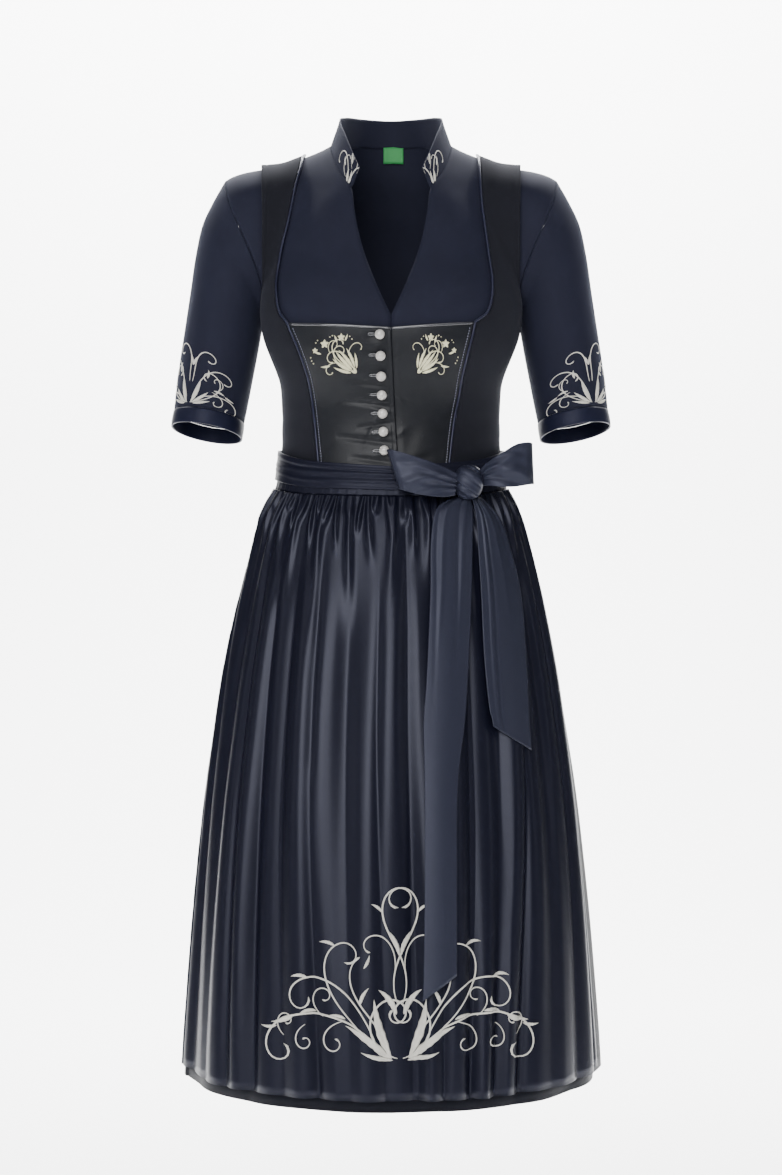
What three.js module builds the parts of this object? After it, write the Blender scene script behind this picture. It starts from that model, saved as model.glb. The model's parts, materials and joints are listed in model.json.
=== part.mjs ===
// A dirndl set in its worn form with no wearer: a blouse with a stand collar and half sleeves, a
// sleeveless dress with a leather front and a gathered skirt, and a gathered apron whose ties wrap
// round the waist into a bow.
// Millimetres. X points to the wearer's left, -Y to the front and +Z up. The origin lies on the
// centre plane at shoulder height, where a wearer carries the dress. "Right" is the wearer's right.
import * as THREE from 'three';

// Cloth layers: inner and outer distance from the figure's surface.
const BLOUSE = { inner: 0, outer: 1 };
const LABEL = { inner: -1.9, outer: -1.1 };
const BODICE = { inner: 2.8, outer: 4.6 };
const WELT = { inner: 5.2, outer: 6.1 };
const WAISTBAND = { inner: 5.8, outer: 7.2 };
const TIE = { inner: 7.7, outer: 8.9 };
const SKIRT_CLOTH = 1.5;
const APRON_CLOTH = 1.2;
const RIBBON = 1.2;
const COLLAR_CLOTH = 1.4;
const CUFF_CLOTH = 1.6;

// The bodice stands this much further off at its armholes.
const ARMHOLE_LIFT = 2;

// Half of the gap between two pieces that meet at a seam, and the gap between stacked pieces.
const SEAM = 0.15;
const CLEAR = 0.4;

const PIPING = { width: 3, thickness: 3 };
const BINDING = { width: 3.4, thickness: 2.2 };
const LABEL_SIZE = { width: 25, height: 18, x: 3, top: 38.6 };
const BUTTON = { count: 7, diameter: 11.4, height: 8.4, pitch: 21.8, top: -204, x_top: -13, x_low: -7.5 };
const BUTTONHOLE = { length: 13, height: 4.4 };
const APRON = {
  edge: 80, gathers: 34, hem_above_skirt: 14, above_skirt: 1.8, early_spread: 0.4, ridges: 2.2,
};
const SKIRT = { side: 90, back_gathers: 30, waist_width: 190 };
const BAND_HEIGHT = 32;
const BAND_DROP = 1.5;
const TIE_COLUMNS = 45;
const CUFF_HEIGHT = 18;

// The general figure: its torso sections, with the half width and the depths before and behind y 0.
const TORSO = [
  { z: -400, half: 136, front: 98, back: 86, square: 2.2 },
  { z: -350, half: 125.5, front: 93, back: 76, square: 2.2 },
  { z: -302, half: 123.4, front: 92, back: 72, square: 2.2 },
  { z: -259, half: 124.6, front: 99, back: 78, square: 2.3 },
  { z: -217, half: 130, front: 107, back: 88, square: 2.4 },
  { z: -188, half: 136.5, front: 108, back: 95, square: 2.5 },
  { z: -165, half: 141, front: 105, back: 99, square: 2.7 },
  { z: -130, half: 142, front: 98, back: 103, square: 2.9 },
  { z: -90, half: 138, front: 89, back: 101, square: 2.9 },
  { z: -50, half: 126, front: 76, back: 92, square: 2.6 },
  { z: -20, half: 106, front: 64, back: 82, square: 2.3 },
  { z: 10, half: 72, front: 50, back: 68, square: 2 },
  { z: 40, half: 45, front: 30, back: 54, square: 2 },
];
const TORSO_TOP = 40;
const BUST = { x: 48, cleft: 20, y: -58, z: -186, wide: 82, deep: 53, high: 60, blend: 60 };
const BONES = [
  { from: [50, 14, -7], to: [160, 0, -57], start: 42, end: 46, blend: 30 },
  { from: [0, 22, -10], to: [0, 33, 100], start: 47, end: 46, blend: 26 },
];
const ARM = [
  { from: [165, 0, -58], to: [197.5, -4, -188], start: 47.5, end: 43.5 },
  { from: [197.5, -4, -188], to: [215, -20, -330], start: 43.5, end: 41.5 },
];
const ARM_BLEND = { low: 10, high: 34, from: -168, to: -105 };

// The sleeve's sections from the armhole to the hem: the outermost and innermost point, half the
// depth, how far the middle has come forward, and how far the back of the section drops.
const SLEEVE = [
  { outer_x: 190, outer_z: -19, inner_x: 149, inner_z: -165, depth: 49, forward: 0, drop: 0 },
  { outer_x: 209, outer_z: -37, inner_x: 150, inner_z: -171, depth: 49.5, forward: 0, drop: 0 },
  { outer_x: 221, outer_z: -63, inner_x: 151.5, inner_z: -178, depth: 49, forward: 1, drop: 1 },
  { outer_x: 229, outer_z: -99, inner_x: 154, inner_z: -192, depth: 47.5, forward: 2, drop: 2 },
  { outer_x: 235, outer_z: -141, inner_x: 157.5, inner_z: -213, depth: 45.5, forward: 4, drop: 3 },
  { outer_x: 241.5, outer_z: -186, inner_x: 162.5, inner_z: -240, depth: 44, forward: 7, drop: 5 },
  { outer_x: 248, outer_z: -234, inner_x: 168, inner_z: -270, depth: 43, forward: 11, drop: 7 },
  { outer_x: 253.5, outer_z: -284, inner_x: 173.5, inner_z: -298, depth: 42.5, forward: 15, drop: 8 },
];
const CUFF_END = {
  outer_x: 256, outer_z: -302, inner_x: 176, inner_z: -316, depth: 42.5, forward: 17, drop: 8,
};
const ARMHOLE_SCOOP = 6;

// Half of the stand collar, from its front end to the centre back: the seam and the upper edge.
const COLLAR = [
  { seam: [45, -62, -30], edge: [36, -63, -6] },
  { seam: [57, -50, -12], edge: [45, -52, 15] },
  { seam: [67, -27, 12], edge: [54, -31, 40] },
  { seam: [70, 6, 30], edge: [60, 2, 61] },
  { seam: [60, 44, 39], edge: [54, 42, 73] },
  { seam: [34, 67, 42], edge: [31, 69, 76] },
  { seam: [0, 76, 42], edge: [0, 78, 76] },
];

// The blouse's neckline below the collar, as x and z of its right edge, to the point of the V.
const NECKLINE = [[45, -30], [42, -53], [37, -82], [30, -109], [18.5, -141], [9, -163], [0, -182]];
const BLOUSE_HEM = -232;

// The bodice's front edges, as x and z: down the strap's inner edge, round its corner and on
// down the front seam to the waist. The set hangs a little to the wearer's right.
const FRONT_EDGE_RIGHT = [
  [-105, 0], [-111, -28], [-118, -71], [-125, -110], [-128.5, -138], [-128, -158],
  [-124.5, -176], [-115.5, -189], [-103, -219], [-94, -245], [-89, -269], [-86, -295], [-82, -340], [-79],
];
const FRONT_EDGE_LEFT = [
  [102.5, 0], [103, -28], [105.5, -71], [110, -110], [113.5, -138], [113, -159],
  [107.5, -178], [94, -189], [86, -222], [80, -246], [76, -270], [71, -297], [66, -340], [62],
];
const CORNER = 8;
const CENTRE_EDGE = [[0, -196], [2, -240], [5, -300], [8, -350], [9]];

// Where the straps of the front and the back meet on the shoulder, as x and y: their inner end.
const STRAP_TOP = [100, 4];
const BACK_EDGE = [[98, 0], [93, -40], [84, -78], [70, -140], [56, -220], [46, -300], [44]];
const BACK_CORNER = 3;
const BACK_NECK = -92;

// The bodice's armhole, as x, y and z, from the shoulder to the side seam.
const ARMHOLE_FRONT = [
  [151, 2, 0], [151, -40, -28], [151, -47, -70], [150.5, -42, -110], [148.5, -31.5, -143.5], [142, -15, -167.5],
];
const ARMHOLE_BACK = [
  [151, 2, 0], [151, 42, -28], [151, 48, -70], [150.5, 43, -110], [146.5, 34, -140], [140, 19, -164],
];
const UNDERARM = -176;

// Heights that change round the body, by the turn from the front.
const ROUND = [
  { turn: 0, waist: -385, tie_top: -352, tie_low: -379.5, hem: -1063 },
  { turn: 45, waist: -381, tie_top: -344, tie_low: -374.5, hem: -1060 },
  { turn: 90, waist: -371, tie_top: -329, tie_low: -362.5, hem: -1050 },
  { turn: 180, waist: -366, tie_top: -324, tie_low: -357, hem: -1050 },
];

// How far the skirt has flared from the waist, by the drop below it.
const FLARE = [
  { drop: 0, side: 0, front: 0, back: 0 },
  { drop: 14, side: 6.5, front: 4, back: 6 },
  { drop: 36, side: 16, front: 10, back: 16 },
  { drop: 72, side: 27, front: 19, back: 29 },
  { drop: 110, side: 37, front: 28, back: 40 },
  { drop: 145, side: 44.5, front: 35, back: 48 },
  { drop: 215, side: 58.5, front: 48, back: 62 },
  { drop: 285, side: 69.5, front: 60, back: 73 },
  { drop: 355, side: 79.5, front: 71, back: 83 },
  { drop: 425, side: 87.5, front: 80.5, back: 92 },
  { drop: 495, side: 94.5, front: 89, back: 100 },
  { drop: 565, side: 100.5, front: 97, back: 107 },
  { drop: 635, side: 106, front: 103.5, back: 112.5 },
  { drop: 695, side: 109.5, front: 108, back: 116 },
];

// How deep gathers and folds are, by the drop below the waist.
const DEPTH = [
  { drop: 0, apron: 1.6, skirt_front: 0.3, skirt_back: 1.6, gathered: 1 },
  { drop: 20, apron: 2.8, skirt_front: 0.5, skirt_back: 2.6, gathered: 1 },
  { drop: 70, apron: 2.8, skirt_front: 0.8, skirt_back: 3, gathered: 0.6 },
  { drop: 160, apron: 3.6, skirt_front: 1.2, skirt_back: 4.5, gathered: 0.2 },
  { drop: 300, apron: 4.6, skirt_front: 1.8, skirt_back: 6.5, gathered: 0 },
  { drop: 695, apron: 6.4, skirt_front: 3, skirt_back: 9, gathered: 0 },
];

// The ridges of the main folds: their turn at the waist and at the hem, and their height.
const APRON_FOLDS = [
  { waist: -84, hem: -80, rise: 0.3 },
  { waist: -77, hem: -72, rise: 0.7 },
  { waist: -70, hem: -60, rise: 0.8 },
  { waist: -61, hem: -51, rise: 0.7 },
  { waist: -51, hem: -42, rise: 1 },
  { waist: -43, hem: -32.5, rise: 0.6 },
  { waist: -34, hem: -23, rise: 0.9 },
  { waist: -21, hem: -14, rise: 1 },
  { waist: -10, hem: -5.5, rise: 0.7 },
  { waist: 1, hem: 2, rise: 0.9 },
  { waist: 10, hem: 9, rise: 1 },
  { waist: 22, hem: 16, rise: 0.6 },
  { waist: 35, hem: 23, rise: 0.8 },
  { waist: 47, hem: 30, rise: 1.5 },
  { waist: 56, hem: 39, rise: 0.8 },
  { waist: 64, hem: 50, rise: 1 },
  { waist: 72, hem: 64, rise: 0.8 },
  { waist: 78, hem: 74, rise: 0.7 },
  { waist: 84, hem: 80, rise: 0.3 },
];
const SKIRT_FOLDS = [
  { waist: -74, hem: -70, rise: 0.8 },
  { waist: -53, hem: -50, rise: 1 },
  { waist: -27, hem: -25, rise: 0.7 },
  { waist: -2, hem: -2, rise: 0.8 },
  { waist: 22, hem: 20, rise: 0.7 },
  { waist: 45, hem: 42, rise: 1 },
  { waist: 68, hem: 66, rise: 0.8 },
  { waist: 87, hem: 88, rise: 0.6 },
  { waist: 101, hem: 104, rise: 1 },
  { waist: 117, hem: 119, rise: 0.7 },
  { waist: 130, hem: 131, rise: 1 },
  { waist: 147, hem: 145, rise: 0.8 },
  { waist: 160, hem: 160, rise: 1 },
  { waist: 176, hem: 174, rise: 0.7 },
  { waist: 190, hem: 190, rise: 0.9 },
  { waist: 206, hem: 207, rise: 1 },
  { waist: 223, hem: 221, rise: 0.7 },
  { waist: 237, hem: 236, rise: 1 },
  { waist: 253, hem: 251, rise: 0.9 },
  { waist: 271, hem: 270, rise: 0.7 },
  { waist: 286, hem: 290, rise: 0.8 },
];
const SKIRT_FIRST = -90;

// The bow's loops as a band that leaves the knot in front, turns and comes back behind: the place
// of the band's middle, its half height and how far its upper edge leans to the wearer's right.
const BOW_LOOP_RIGHT = [
  { x: 74, y: -115, z: -374, half: 12, lean: 2 },
  { x: 60, y: -121, z: -371, half: 17, lean: 0 },
  { x: 42, y: -126.5, z: -367, half: 20, lean: -1 },
  { x: 22, y: -128.5, z: -362, half: 22, lean: -3 },
  { x: 5, y: -126, z: -357, half: 22.5, lean: -6 },
  { x: 2.5, y: -120, z: -356.5, half: 22, lean: -7 },
  { x: 8, y: -114, z: -358, half: 21, lean: -6 },
  { x: 24, y: -111.5, z: -362, half: 20, lean: -3 },
  { x: 44, y: -109, z: -367, half: 18, lean: 0 },
  { x: 60, y: -106.5, z: -371, half: 15, lean: 0 },
  { x: 73, y: -105, z: -374, half: 11, lean: 2 },
];
const BOW_LOOP_LEFT = [
  { x: 101.2, y: -108, z: -366, half: 8, lean: -2 },
  { x: 112, y: -115, z: -361, half: 14, lean: -1 },
  { x: 126, y: -118, z: -357, half: 19.5, lean: 1 },
  { x: 142, y: -115, z: -351.5, half: 24, lean: 3 },
  { x: 155, y: -107, z: -348, half: 25, lean: 7 },
  { x: 158, y: -98, z: -348, half: 24, lean: 8 },
  { x: 150, y: -91, z: -351, half: 22, lean: 6 },
  { x: 134, y: -91, z: -355, half: 19, lean: 2 },
  { x: 118, y: -95, z: -360, half: 14, lean: 0 },
  { x: 101.4, y: -100, z: -366, half: 8, lean: -2 },
];
const KNOT = { x: 88, y: -103.8, z: -370, wide: 13.9, deep: 16, high: 18.2 };

// The ties' free tails, by height: the two edges' x and how far they stand off the apron.
const TAIL_LONG = [
  { z: -387.2, right: 74, left: 89, off: 6 },
  { z: -397, right: 54, left: 93, off: 2.5 },
  { z: -430, right: 45.5, left: 92.5, off: 1.5 },
  { z: -495, right: 44, left: 91, off: 1 },
  { z: -590, right: 39.5, left: 86, off: 1 },
  { z: -640, right: 36, left: 82, off: 1 },
  { z: -705, right: 37, left: 74, off: 1 },
  { z: -800, right: 37, left: 72.5, off: 1 },
  { z: -910, right: 35.5, left: 72, off: 1 },
  { z: -940, right: 34.5, left: 72, off: 1 },
];
const TAIL_LONG_RISE = 26;
const TAIL_SHORT = [
  { z: -387.2, right: 92, left: 103, off: 8 },
  { z: -410, right: 97, left: 124, off: 3 },
  { z: -450, right: 99, left: 138, off: 2.5 },
  { z: -495, right: 101.5, left: 148, off: 2 },
  { z: -560, right: 104, left: 153, off: 2 },
  { z: -640, right: 110, left: 156, off: 2 },
  { z: -673, right: 114, left: 158, off: 2 },
];
const TAIL_SHORT_RISE = -28;
const TAIL_BULGE = 1.5;

const DEGREE = Math.PI / 180;
const V = (x, y, z) => new THREE.Vector3(x, y, z);
const mix = THREE.MathUtils.lerp;
const smooth = THREE.MathUtils.smoothstep;

// A smooth curve through one column of a table, read at a place along another column.
function read(rows, by, key, at) {
  const last = rows.length - 1;
  const up = rows[last][by] > rows[0][by];
  const place = (k) => (up ? rows[k][by] : -rows[k][by]);
  const here = up ? at : -at;
  if (here <= place(0)) return rows[0][key];
  if (here >= place(last)) return rows[last][key];
  let k = 0;
  while (place(k + 1) < here) k += 1;
  const before = Math.max(0, k - 1);
  const after = Math.min(last, k + 2);
  const span = place(k + 1) - place(k);
  const t = (here - place(k)) / span;
  const leave = ((rows[k + 1][key] - rows[before][key]) / (place(k + 1) - place(before))) * span;
  const arrive = ((rows[after][key] - rows[k][key]) / (place(after) - place(k))) * span;
  const a = rows[k][key];
  const b = rows[k + 1][key];
  return a + t * leave + t * t * (3 * (b - a) - 2 * leave - arrive) + t ** 3 * (2 * (a - b) + leave + arrive);
}

// The smaller of two distances, rounded where they meet.
function blend(a, b, width) {
  const near = Math.max(width - Math.abs(a - b), 0) / width;
  return Math.min(a, b) - (near * near * width) / 4;
}

function boneDistance(p, bone) {
  const from = V(...bone.from);
  const along = V(...bone.to).sub(from);
  const t = THREE.MathUtils.clamp(p.clone().sub(from).dot(along) / along.lengthSq(), 0, 1);
  return p.distanceTo(from.addScaledVector(along, t)) - mix(bone.start, bone.end, t);
}

function torsoSection(z) {
  const front = read(TORSO, 'z', 'front', z);
  const back = read(TORSO, 'z', 'back', z);
  return {
    half: read(TORSO, 'z', 'half', z),
    middle: (back - front) / 2,
    depth: (back + front) / 2,
    square: read(TORSO, 'z', 'square', z),
  };
}

// The general figure's surface is where this is 0; inside it is negative.
function figure(point) {
  const p = V(Math.abs(point.x), point.y, point.z);
  const s = torsoSection(p.z);
  const ring = (p.x / s.half) ** s.square + (Math.abs(p.y - s.middle) / s.depth) ** s.square;
  let d = (ring ** (1 / s.square) - 1) * Math.sqrt(s.half * s.depth);
  d = Math.max(d, p.z - TORSO_TOP);
  const aside = Math.hypot(p.x, BUST.cleft) - BUST.x;
  const bust = V(aside / BUST.wide, (p.y - BUST.y) / BUST.deep, (p.z - BUST.z) / BUST.high);
  d = blend(d, (bust.length() - 1) * BUST.wide, BUST.blend);
  for (const bone of BONES) d = blend(d, boneDistance(p, bone), bone.blend);
  const width = mix(ARM_BLEND.low, ARM_BLEND.high, smooth(p.z, ARM_BLEND.from, ARM_BLEND.to));
  return blend(d, Math.min(...ARM.map((bone) => boneDistance(p, bone))), width);
}

function slope(p) {
  const e = 0.05;
  const step = (x, y, z) => figure(V(p.x + x, p.y + y, p.z + z)) - figure(V(p.x - x, p.y - y, p.z - z));
  return V(step(e, 0, 0), step(0, e, 0), step(0, 0, e)).divideScalar(2 * e);
}

function onFigure(point) {
  const p = point.clone();
  for (let turn = 0; turn < 12; turn += 1) {
    const g = slope(p);
    p.addScaledVector(g, -figure(p) / g.lengthSq());
  }
  return p;
}

// Where a line from inside the figure leaves it.
function leave(from, direction) {
  let outside = 0;
  while (figure(from.clone().addScaledVector(direction, outside)) < 0) outside += 3;
  let inside = outside - 3;
  for (let halving = 0; halving < 24; halving += 1) {
    const middle = (inside + outside) / 2;
    if (figure(from.clone().addScaledVector(direction, middle)) < 0) inside = middle;
    else outside = middle;
  }
  return from.clone().addScaledVector(direction, outside);
}
const onFront = (x, z) => leave(V(x, 0, Math.min(z, -8)), V(0, -1, Math.max(z + 8, 0) / 60).normalize());
const onBack = (x, z) => leave(V(x, 8, Math.min(z, -8)), V(0, 1, Math.max(z + 8, 0) / 60).normalize());
const onShoulder = (x, y) => leave(V(x, y, -40), V(0, 0, 1));
const onSide = (side, z) => onFigure(V(side * read(TORSO, 'z', 'half', z), 0, z));
const curve = (points) => new THREE.CatmullRomCurve3(points, false, 'centripetal');

// Points along a smooth curve, closer together at its start where ease is over 1, and several
// such runs joined into one.
function spaced(points, spans, ease = 1) {
  const line = curve(points);
  return Array.from({ length: spans + 1 }, (_, k) => line.getPointAt((k / spans) ** ease));
}
// The line midway between two others, carried out to the figure from a place deep inside it.
const between = (one, other) => one.map((p, j) => {
  const middle = p.clone().lerp(other[j], 0.5);
  const deep = V(middle.x / 2, 8, Math.min(middle.z, -30));
  return leave(deep, middle.sub(deep).normalize());
});
const joined = (...runs) => runs.flatMap((run, k) => (k === 0 ? run : run.slice(1)));

// An edge moved in towards the next guide by an amount square to the edge, for each row.
function trimmed(edge, next, amount) {
  const last = edge.length - 1;
  return edge.map((p, j) => {
    const along = edge[Math.min(j + 1, last)].clone().sub(edge[Math.max(j - 1, 0)]).normalize();
    const inward = next[j].clone().sub(p).normalize();
    const sine = Math.max(inward.clone().cross(along).length(), 0.5);
    return p.clone().addScaledVector(inward, (typeof amount === 'function' ? amount(j) : amount) / sine);
  });
}

// A grid of points on the figure between guides, which run down the piece with a point for each
// row. Spans gives the columns between one guide and the next. The trims are lengths taken off
// the first and last guide and off the top and foot.
function onGuides(guides, spans, trim = {}) {
  const { first = SEAM, last = SEAM, top = SEAM, foot = 0 } = trim;
  const end = guides.length - 1;
  const lines = guides.slice();
  lines[0] = trimmed(guides[0], guides[1], first);
  lines[end] = trimmed(guides[end], guides[end - 1], last);
  const rows = guides[0].map((_, j) => [
    ...spans.flatMap((count, k) => (
      Array.from({ length: count }, (__, i) => lines[k][j].clone().lerp(lines[k + 1][j], i / count)))),
    lines[end][j].clone(),
  ]);
  const foremost = rows.length - 1;
  const shift = (row, towards, length) => row.map((p, i) => (
    p.clone().addScaledVector(towards[i].clone().sub(p).normalize(), length)));
  const ends = [shift(rows[0], rows[1], top), shift(rows[foremost], rows[foremost - 1], foot)];
  const points = [ends[0], ...rows.slice(1, -1), ends[1]].map((row) => row.map(onFigure));
  return { points, normals: points.map((row) => row.map((p) => slope(p).normalize())) };
}

// Normals of a free grid, from its neighbours. They point to the side that side gives.
function withNormals(points, side, round = false) {
  const rows = points.length;
  const columns = points[0].length;
  const near = (i) => (round ? (i + columns) % columns : THREE.MathUtils.clamp(i, 0, columns - 1));
  const normals = points.map((row, j) => row.map((_, i) => {
    const along = row[near(i + 1)].clone().sub(row[near(i - 1)]);
    const down = points[Math.min(j + 1, rows - 1)][i].clone().sub(points[Math.max(j - 1, 0)][i]);
    return along.cross(down).normalize().multiplyScalar(side);
  }));
  return { points, normals };
}

// A closed body from its vertices and faces, with the faces turned out.
function closedBody(vertices, faces) {
  let volume = 0;
  for (let k = 0; k < faces.length; k += 3) {
    const [a, b, c] = [0, 1, 2].map((n) => vertices[faces[k + n]]);
    volume += a.dot(b.clone().cross(c));
  }
  if (volume < 0) faces.reverse();
  const geometry = new THREE.BufferGeometry();
  const places = vertices.flatMap((v) => v.toArray());
  geometry.setAttribute('position', new THREE.Float32BufferAttribute(places, 3));
  geometry.setIndex(faces);
  geometry.computeVertexNormals();
  return geometry;
}

// A cloth wall between two distances from a grid, closed at its rims, or round like a tube.
function wall({ points, normals }, inner, outer, round = false) {
  const rows = points.length;
  const columns = points[0].length;
  const out = (distance, i, j) => (typeof distance === 'function' ? distance(i, j) : distance);
  const vertices = [inner, outer].flatMap((distance) => points.flatMap((row, j) => (
    row.map((p, i) => p.clone().addScaledVector(normals[j][i], out(distance, i, j))))));
  const at = (layer, j, i) => (layer * rows + j) * columns + (i % columns);
  const faces = [];
  const quad = (a, b, c, d) => faces.push(a, b, c, a, c, d);
  const spans = round ? columns : columns - 1;
  const foot = rows - 1;
  for (let i = 0; i < spans; i += 1) {
    for (let j = 0; j < foot; j += 1) {
      quad(at(1, j, i), at(1, j, i + 1), at(1, j + 1, i + 1), at(1, j + 1, i));
      quad(at(0, j, i), at(0, j + 1, i), at(0, j + 1, i + 1), at(0, j, i + 1));
    }
    quad(at(0, 0, i), at(0, 0, i + 1), at(1, 0, i + 1), at(1, 0, i));
    quad(at(1, foot, i), at(1, foot, i + 1), at(0, foot, i + 1), at(0, foot, i));
  }
  for (let j = 0; j < foot && !round; j += 1) {
    quad(at(1, j, 0), at(1, j + 1, 0), at(0, j + 1, 0), at(0, j, 0));
    quad(at(0, j, spans), at(0, j + 1, spans), at(1, j + 1, spans), at(1, j, spans));
  }
  return closedBody(vertices, faces);
}

// A square cord on the figure along a line of points, its middle at a distance above them.
function cordOnFigure(line, width, thickness, above) {
  const spine = line.map(onFigure);
  const last = spine.length - 1;
  const normals = spine.map((p) => {
    const up = slope(p).normalize();
    return [up, up];
  });
  const points = spine.map((p, k) => {
    const ahead = spine[Math.min(k + 1, last)].clone().sub(spine[Math.max(k - 1, 0)]).normalize();
    const across = ahead.cross(normals[k][0]).normalize();
    return [-1, 1].map((side) => (
      p.clone().addScaledVector(across, (side * width) / 2).addScaledVector(normals[k][0], above)));
  });
  return wall({ points, normals }, -thickness / 2, thickness / 2);
}

// Materials: colour and roughness.
const cloth = (colour, roughness) => (
  new THREE.MeshStandardMaterial({ color: colour, roughness, metalness: 0, side: THREE.FrontSide }));
const JERSEY = cloth(0x2d2f40, 0.85);
const BODICE_CLOTH = cloth(0x1d1e25, 0.9);
const LEATHER = cloth(0x303138, 0.38);
const SATIN = cloth(0x3b3c4e, 0.35);
const SKIRT_SATIN = cloth(0x2b2b33, 0.6);
const PIPING_SATIN = cloth(0x2c3148, 0.4);
const PEARL = cloth(0xdcdad6, 0.25);
const LABEL_CLOTH = cloth(0x3f9a58, 0.7);

const dirndl = new THREE.Group();
function add(name, geometry, material) {
  const mesh = new THREE.Mesh(geometry, material);
  mesh.name = name;
  dirndl.add(mesh);
  return mesh;
}
const SIDES = [
  { name: 'right', side: -1 },
  { name: 'left', side: 1 },
];
const mirrored = (points, side) => points.map(([x, y, z]) => V(side * x, y, z));

// A section of the sleeve, from its outermost point round the back.
function sleeveRing(row, side, count) {
  const outer = V(side * row.outer_x, -row.forward, row.outer_z);
  const inner = V(side * row.inner_x, -row.forward, row.inner_z);
  const middle = outer.clone().add(inner).multiplyScalar(0.5);
  const reach = outer.clone().sub(middle);
  return Array.from({ length: count }, (_, k) => {
    const turn = (k / count) * 2 * Math.PI;
    const back = Math.sin(turn);
    const behind = V(0, back * row.depth, -back * row.drop);
    return middle.clone().addScaledVector(reach, Math.cos(turn)).add(behind);
  });
}

// The seam where the sleeve meets the blouse, on the figure.
function armhole(side, count) {
  return sleeveRing(SLEEVE[0], side, count).map((p) => {
    const low = smooth(-p.z, 60, 130) * (1 - smooth(-p.z, 135, 165));
    const front = smooth(-p.y, 10, 40);
    return onFigure(p.add(V(-side * ARMHOLE_SCOOP * low * front, 0, 0)));
  });
}
const ARMHOLE_POINTS = 20;
const HALF_HOLE = ARMHOLE_POINTS / 2;

// The armhole from the shoulder to the underarm, along the front or the back of the body.
function armholeHalf(side, before) {
  const ring = armhole(side, ARMHOLE_POINTS);
  const place = (k) => (before ? ARMHOLE_POINTS - k : k) % ARMHOLE_POINTS;
  return Array.from({ length: HALF_HOLE + 1 }, (_, k) => ring[place(k)]);
}

const collarSeam = (row, side) => onFigure(V(side * row.seam[0], row.seam[1], row.seam[2]));
const NECK_SIDE = 3;
const COLLAR_ROWS = [0.062, 0.5, 1];
const BLOUSE_SIDE_ROWS = 4;
const BLOUSE_ROWS = HALF_HOLE + BLOUSE_SIDE_ROWS;

function blouse() {
  const outerEdge = (side, before) => {
    const hole = armholeHalf(side, before);
    const below = [hole[HALF_HOLE], onSide(side, -200), onSide(side, BLOUSE_HEM)];
    return joined(hole, spaced(below, BLOUSE_SIDE_ROWS));
  };
  for (const { name, side } of SIDES) {
    const neck = COLLAR.slice(0, NECK_SIDE + 1).reverse().map((row) => collarSeam(row, side));
    const neckline = [...neck, ...NECKLINE.slice(1).map(([x, z]) => onFront(side * x, z))];
    const point = neckline[neckline.length - 1];
    const edge = joined(spaced(neckline, BLOUSE_ROWS - 3, 1.15), spaced([point, onFront(0, BLOUSE_HEM)], 3));
    const outer = outerEdge(side, true);
    const grid = onGuides([edge, between(edge, outer), outer], [4, 5], { first: 2 * SEAM });
    add(`blouse_front_${name}`, wall(grid, BLOUSE.inner, BLOUSE.outer), JERSEY);
  }
  const down = (row, side, places) => (
    spaced([collarSeam(row, side), ...places.map(([x, z]) => onBack(side * x, z))], BLOUSE_ROWS, 1.3));
  const backGuides = (side) => {
    const outer = outerEdge(side, false);
    const neckSide = down(COLLAR[NECK_SIDE], side, [[64, -20], [60, -90], [56, -160], [52, BLOUSE_HEM]]);
    return [
      outer,
      between(outer, neckSide),
      neckSide,
      down(COLLAR[NECK_SIDE + 1], side, [[46, -30], [38, -100], [34, BLOUSE_HEM]]),
      down(COLLAR[NECK_SIDE + 2], side, [[24, -40], [18, BLOUSE_HEM]]),
    ];
  };
  const spine = down(COLLAR[COLLAR.length - 1], 1, [[0, -40], [0, -140], [0, BLOUSE_HEM]]);
  const guides = [...backGuides(-1), spine, ...backGuides(1).reverse()];
  const grid = onGuides(guides, [5, 4, 2, 2, 2, 2, 2, 2, 4, 5]);
  add('blouse_back', wall(grid, BLOUSE.inner, BLOUSE.outer), JERSEY);
}

function collar() {
  const half = (side) => COLLAR.map((row) => [collarSeam(row, side), ...mirrored([row.edge], side)]);
  const whole = [...half(-1), ...half(1).reverse().slice(1)];
  const across = 28;
  const seam = spaced(whole.map((pair) => pair[0]), across);
  const edge = spaced(whole.map((pair) => pair[1]), across);
  const points = COLLAR_ROWS.map((height) => seam.map((low, i) => low.clone().lerp(edge[i], height)));
  add('collar', wall(withNormals(points, 1), -COLLAR_CLOTH / 2, COLLAR_CLOTH / 2), JERSEY);
}

function label() {
  const { width, height, x, top } = LABEL_SIZE;
  const guides = [-0.5, 0, 0.5].map((place) => (
    [0, 0.5, 1].map((down) => onBack(x + place * width, top - down * height))));
  add('neck_label', wall(onGuides(guides, [2, 2]), LABEL.inner, LABEL.outer), LABEL_CLOTH);
}

function sleeves() {
  for (const { name, side } of SIDES) {
    const seam = armhole(side, ARMHOLE_POINTS);
    const rings = SLEEVE.slice(1).map((row) => sleeveRing(row, side, ARMHOLE_POINTS));
    const first = seam.map((p, k) => {
      const down = rings[0][k].clone().sub(p).normalize();
      return p.clone().addScaledVector(down, 2 * SEAM);
    });
    const grid = withNormals([first, ...rings], -side, true);
    grid.normals[0] = first.map((p) => slope(p).normalize());
    add(`sleeve_${name}`, wall(grid, BLOUSE.inner, BLOUSE.outer, true), JERSEY);
    const end = sleeveRing(CUFF_END, side, ARMHOLE_POINTS);
    const top = rings[rings.length - 1].map((p, k) => p.clone().lerp(end[k], (2 * SEAM) / CUFF_HEIGHT));
    add(`cuff_${name}`, wall(withNormals([top, end], -side, true), 0, CUFF_CLOTH, true), SATIN);
  }
}

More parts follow.
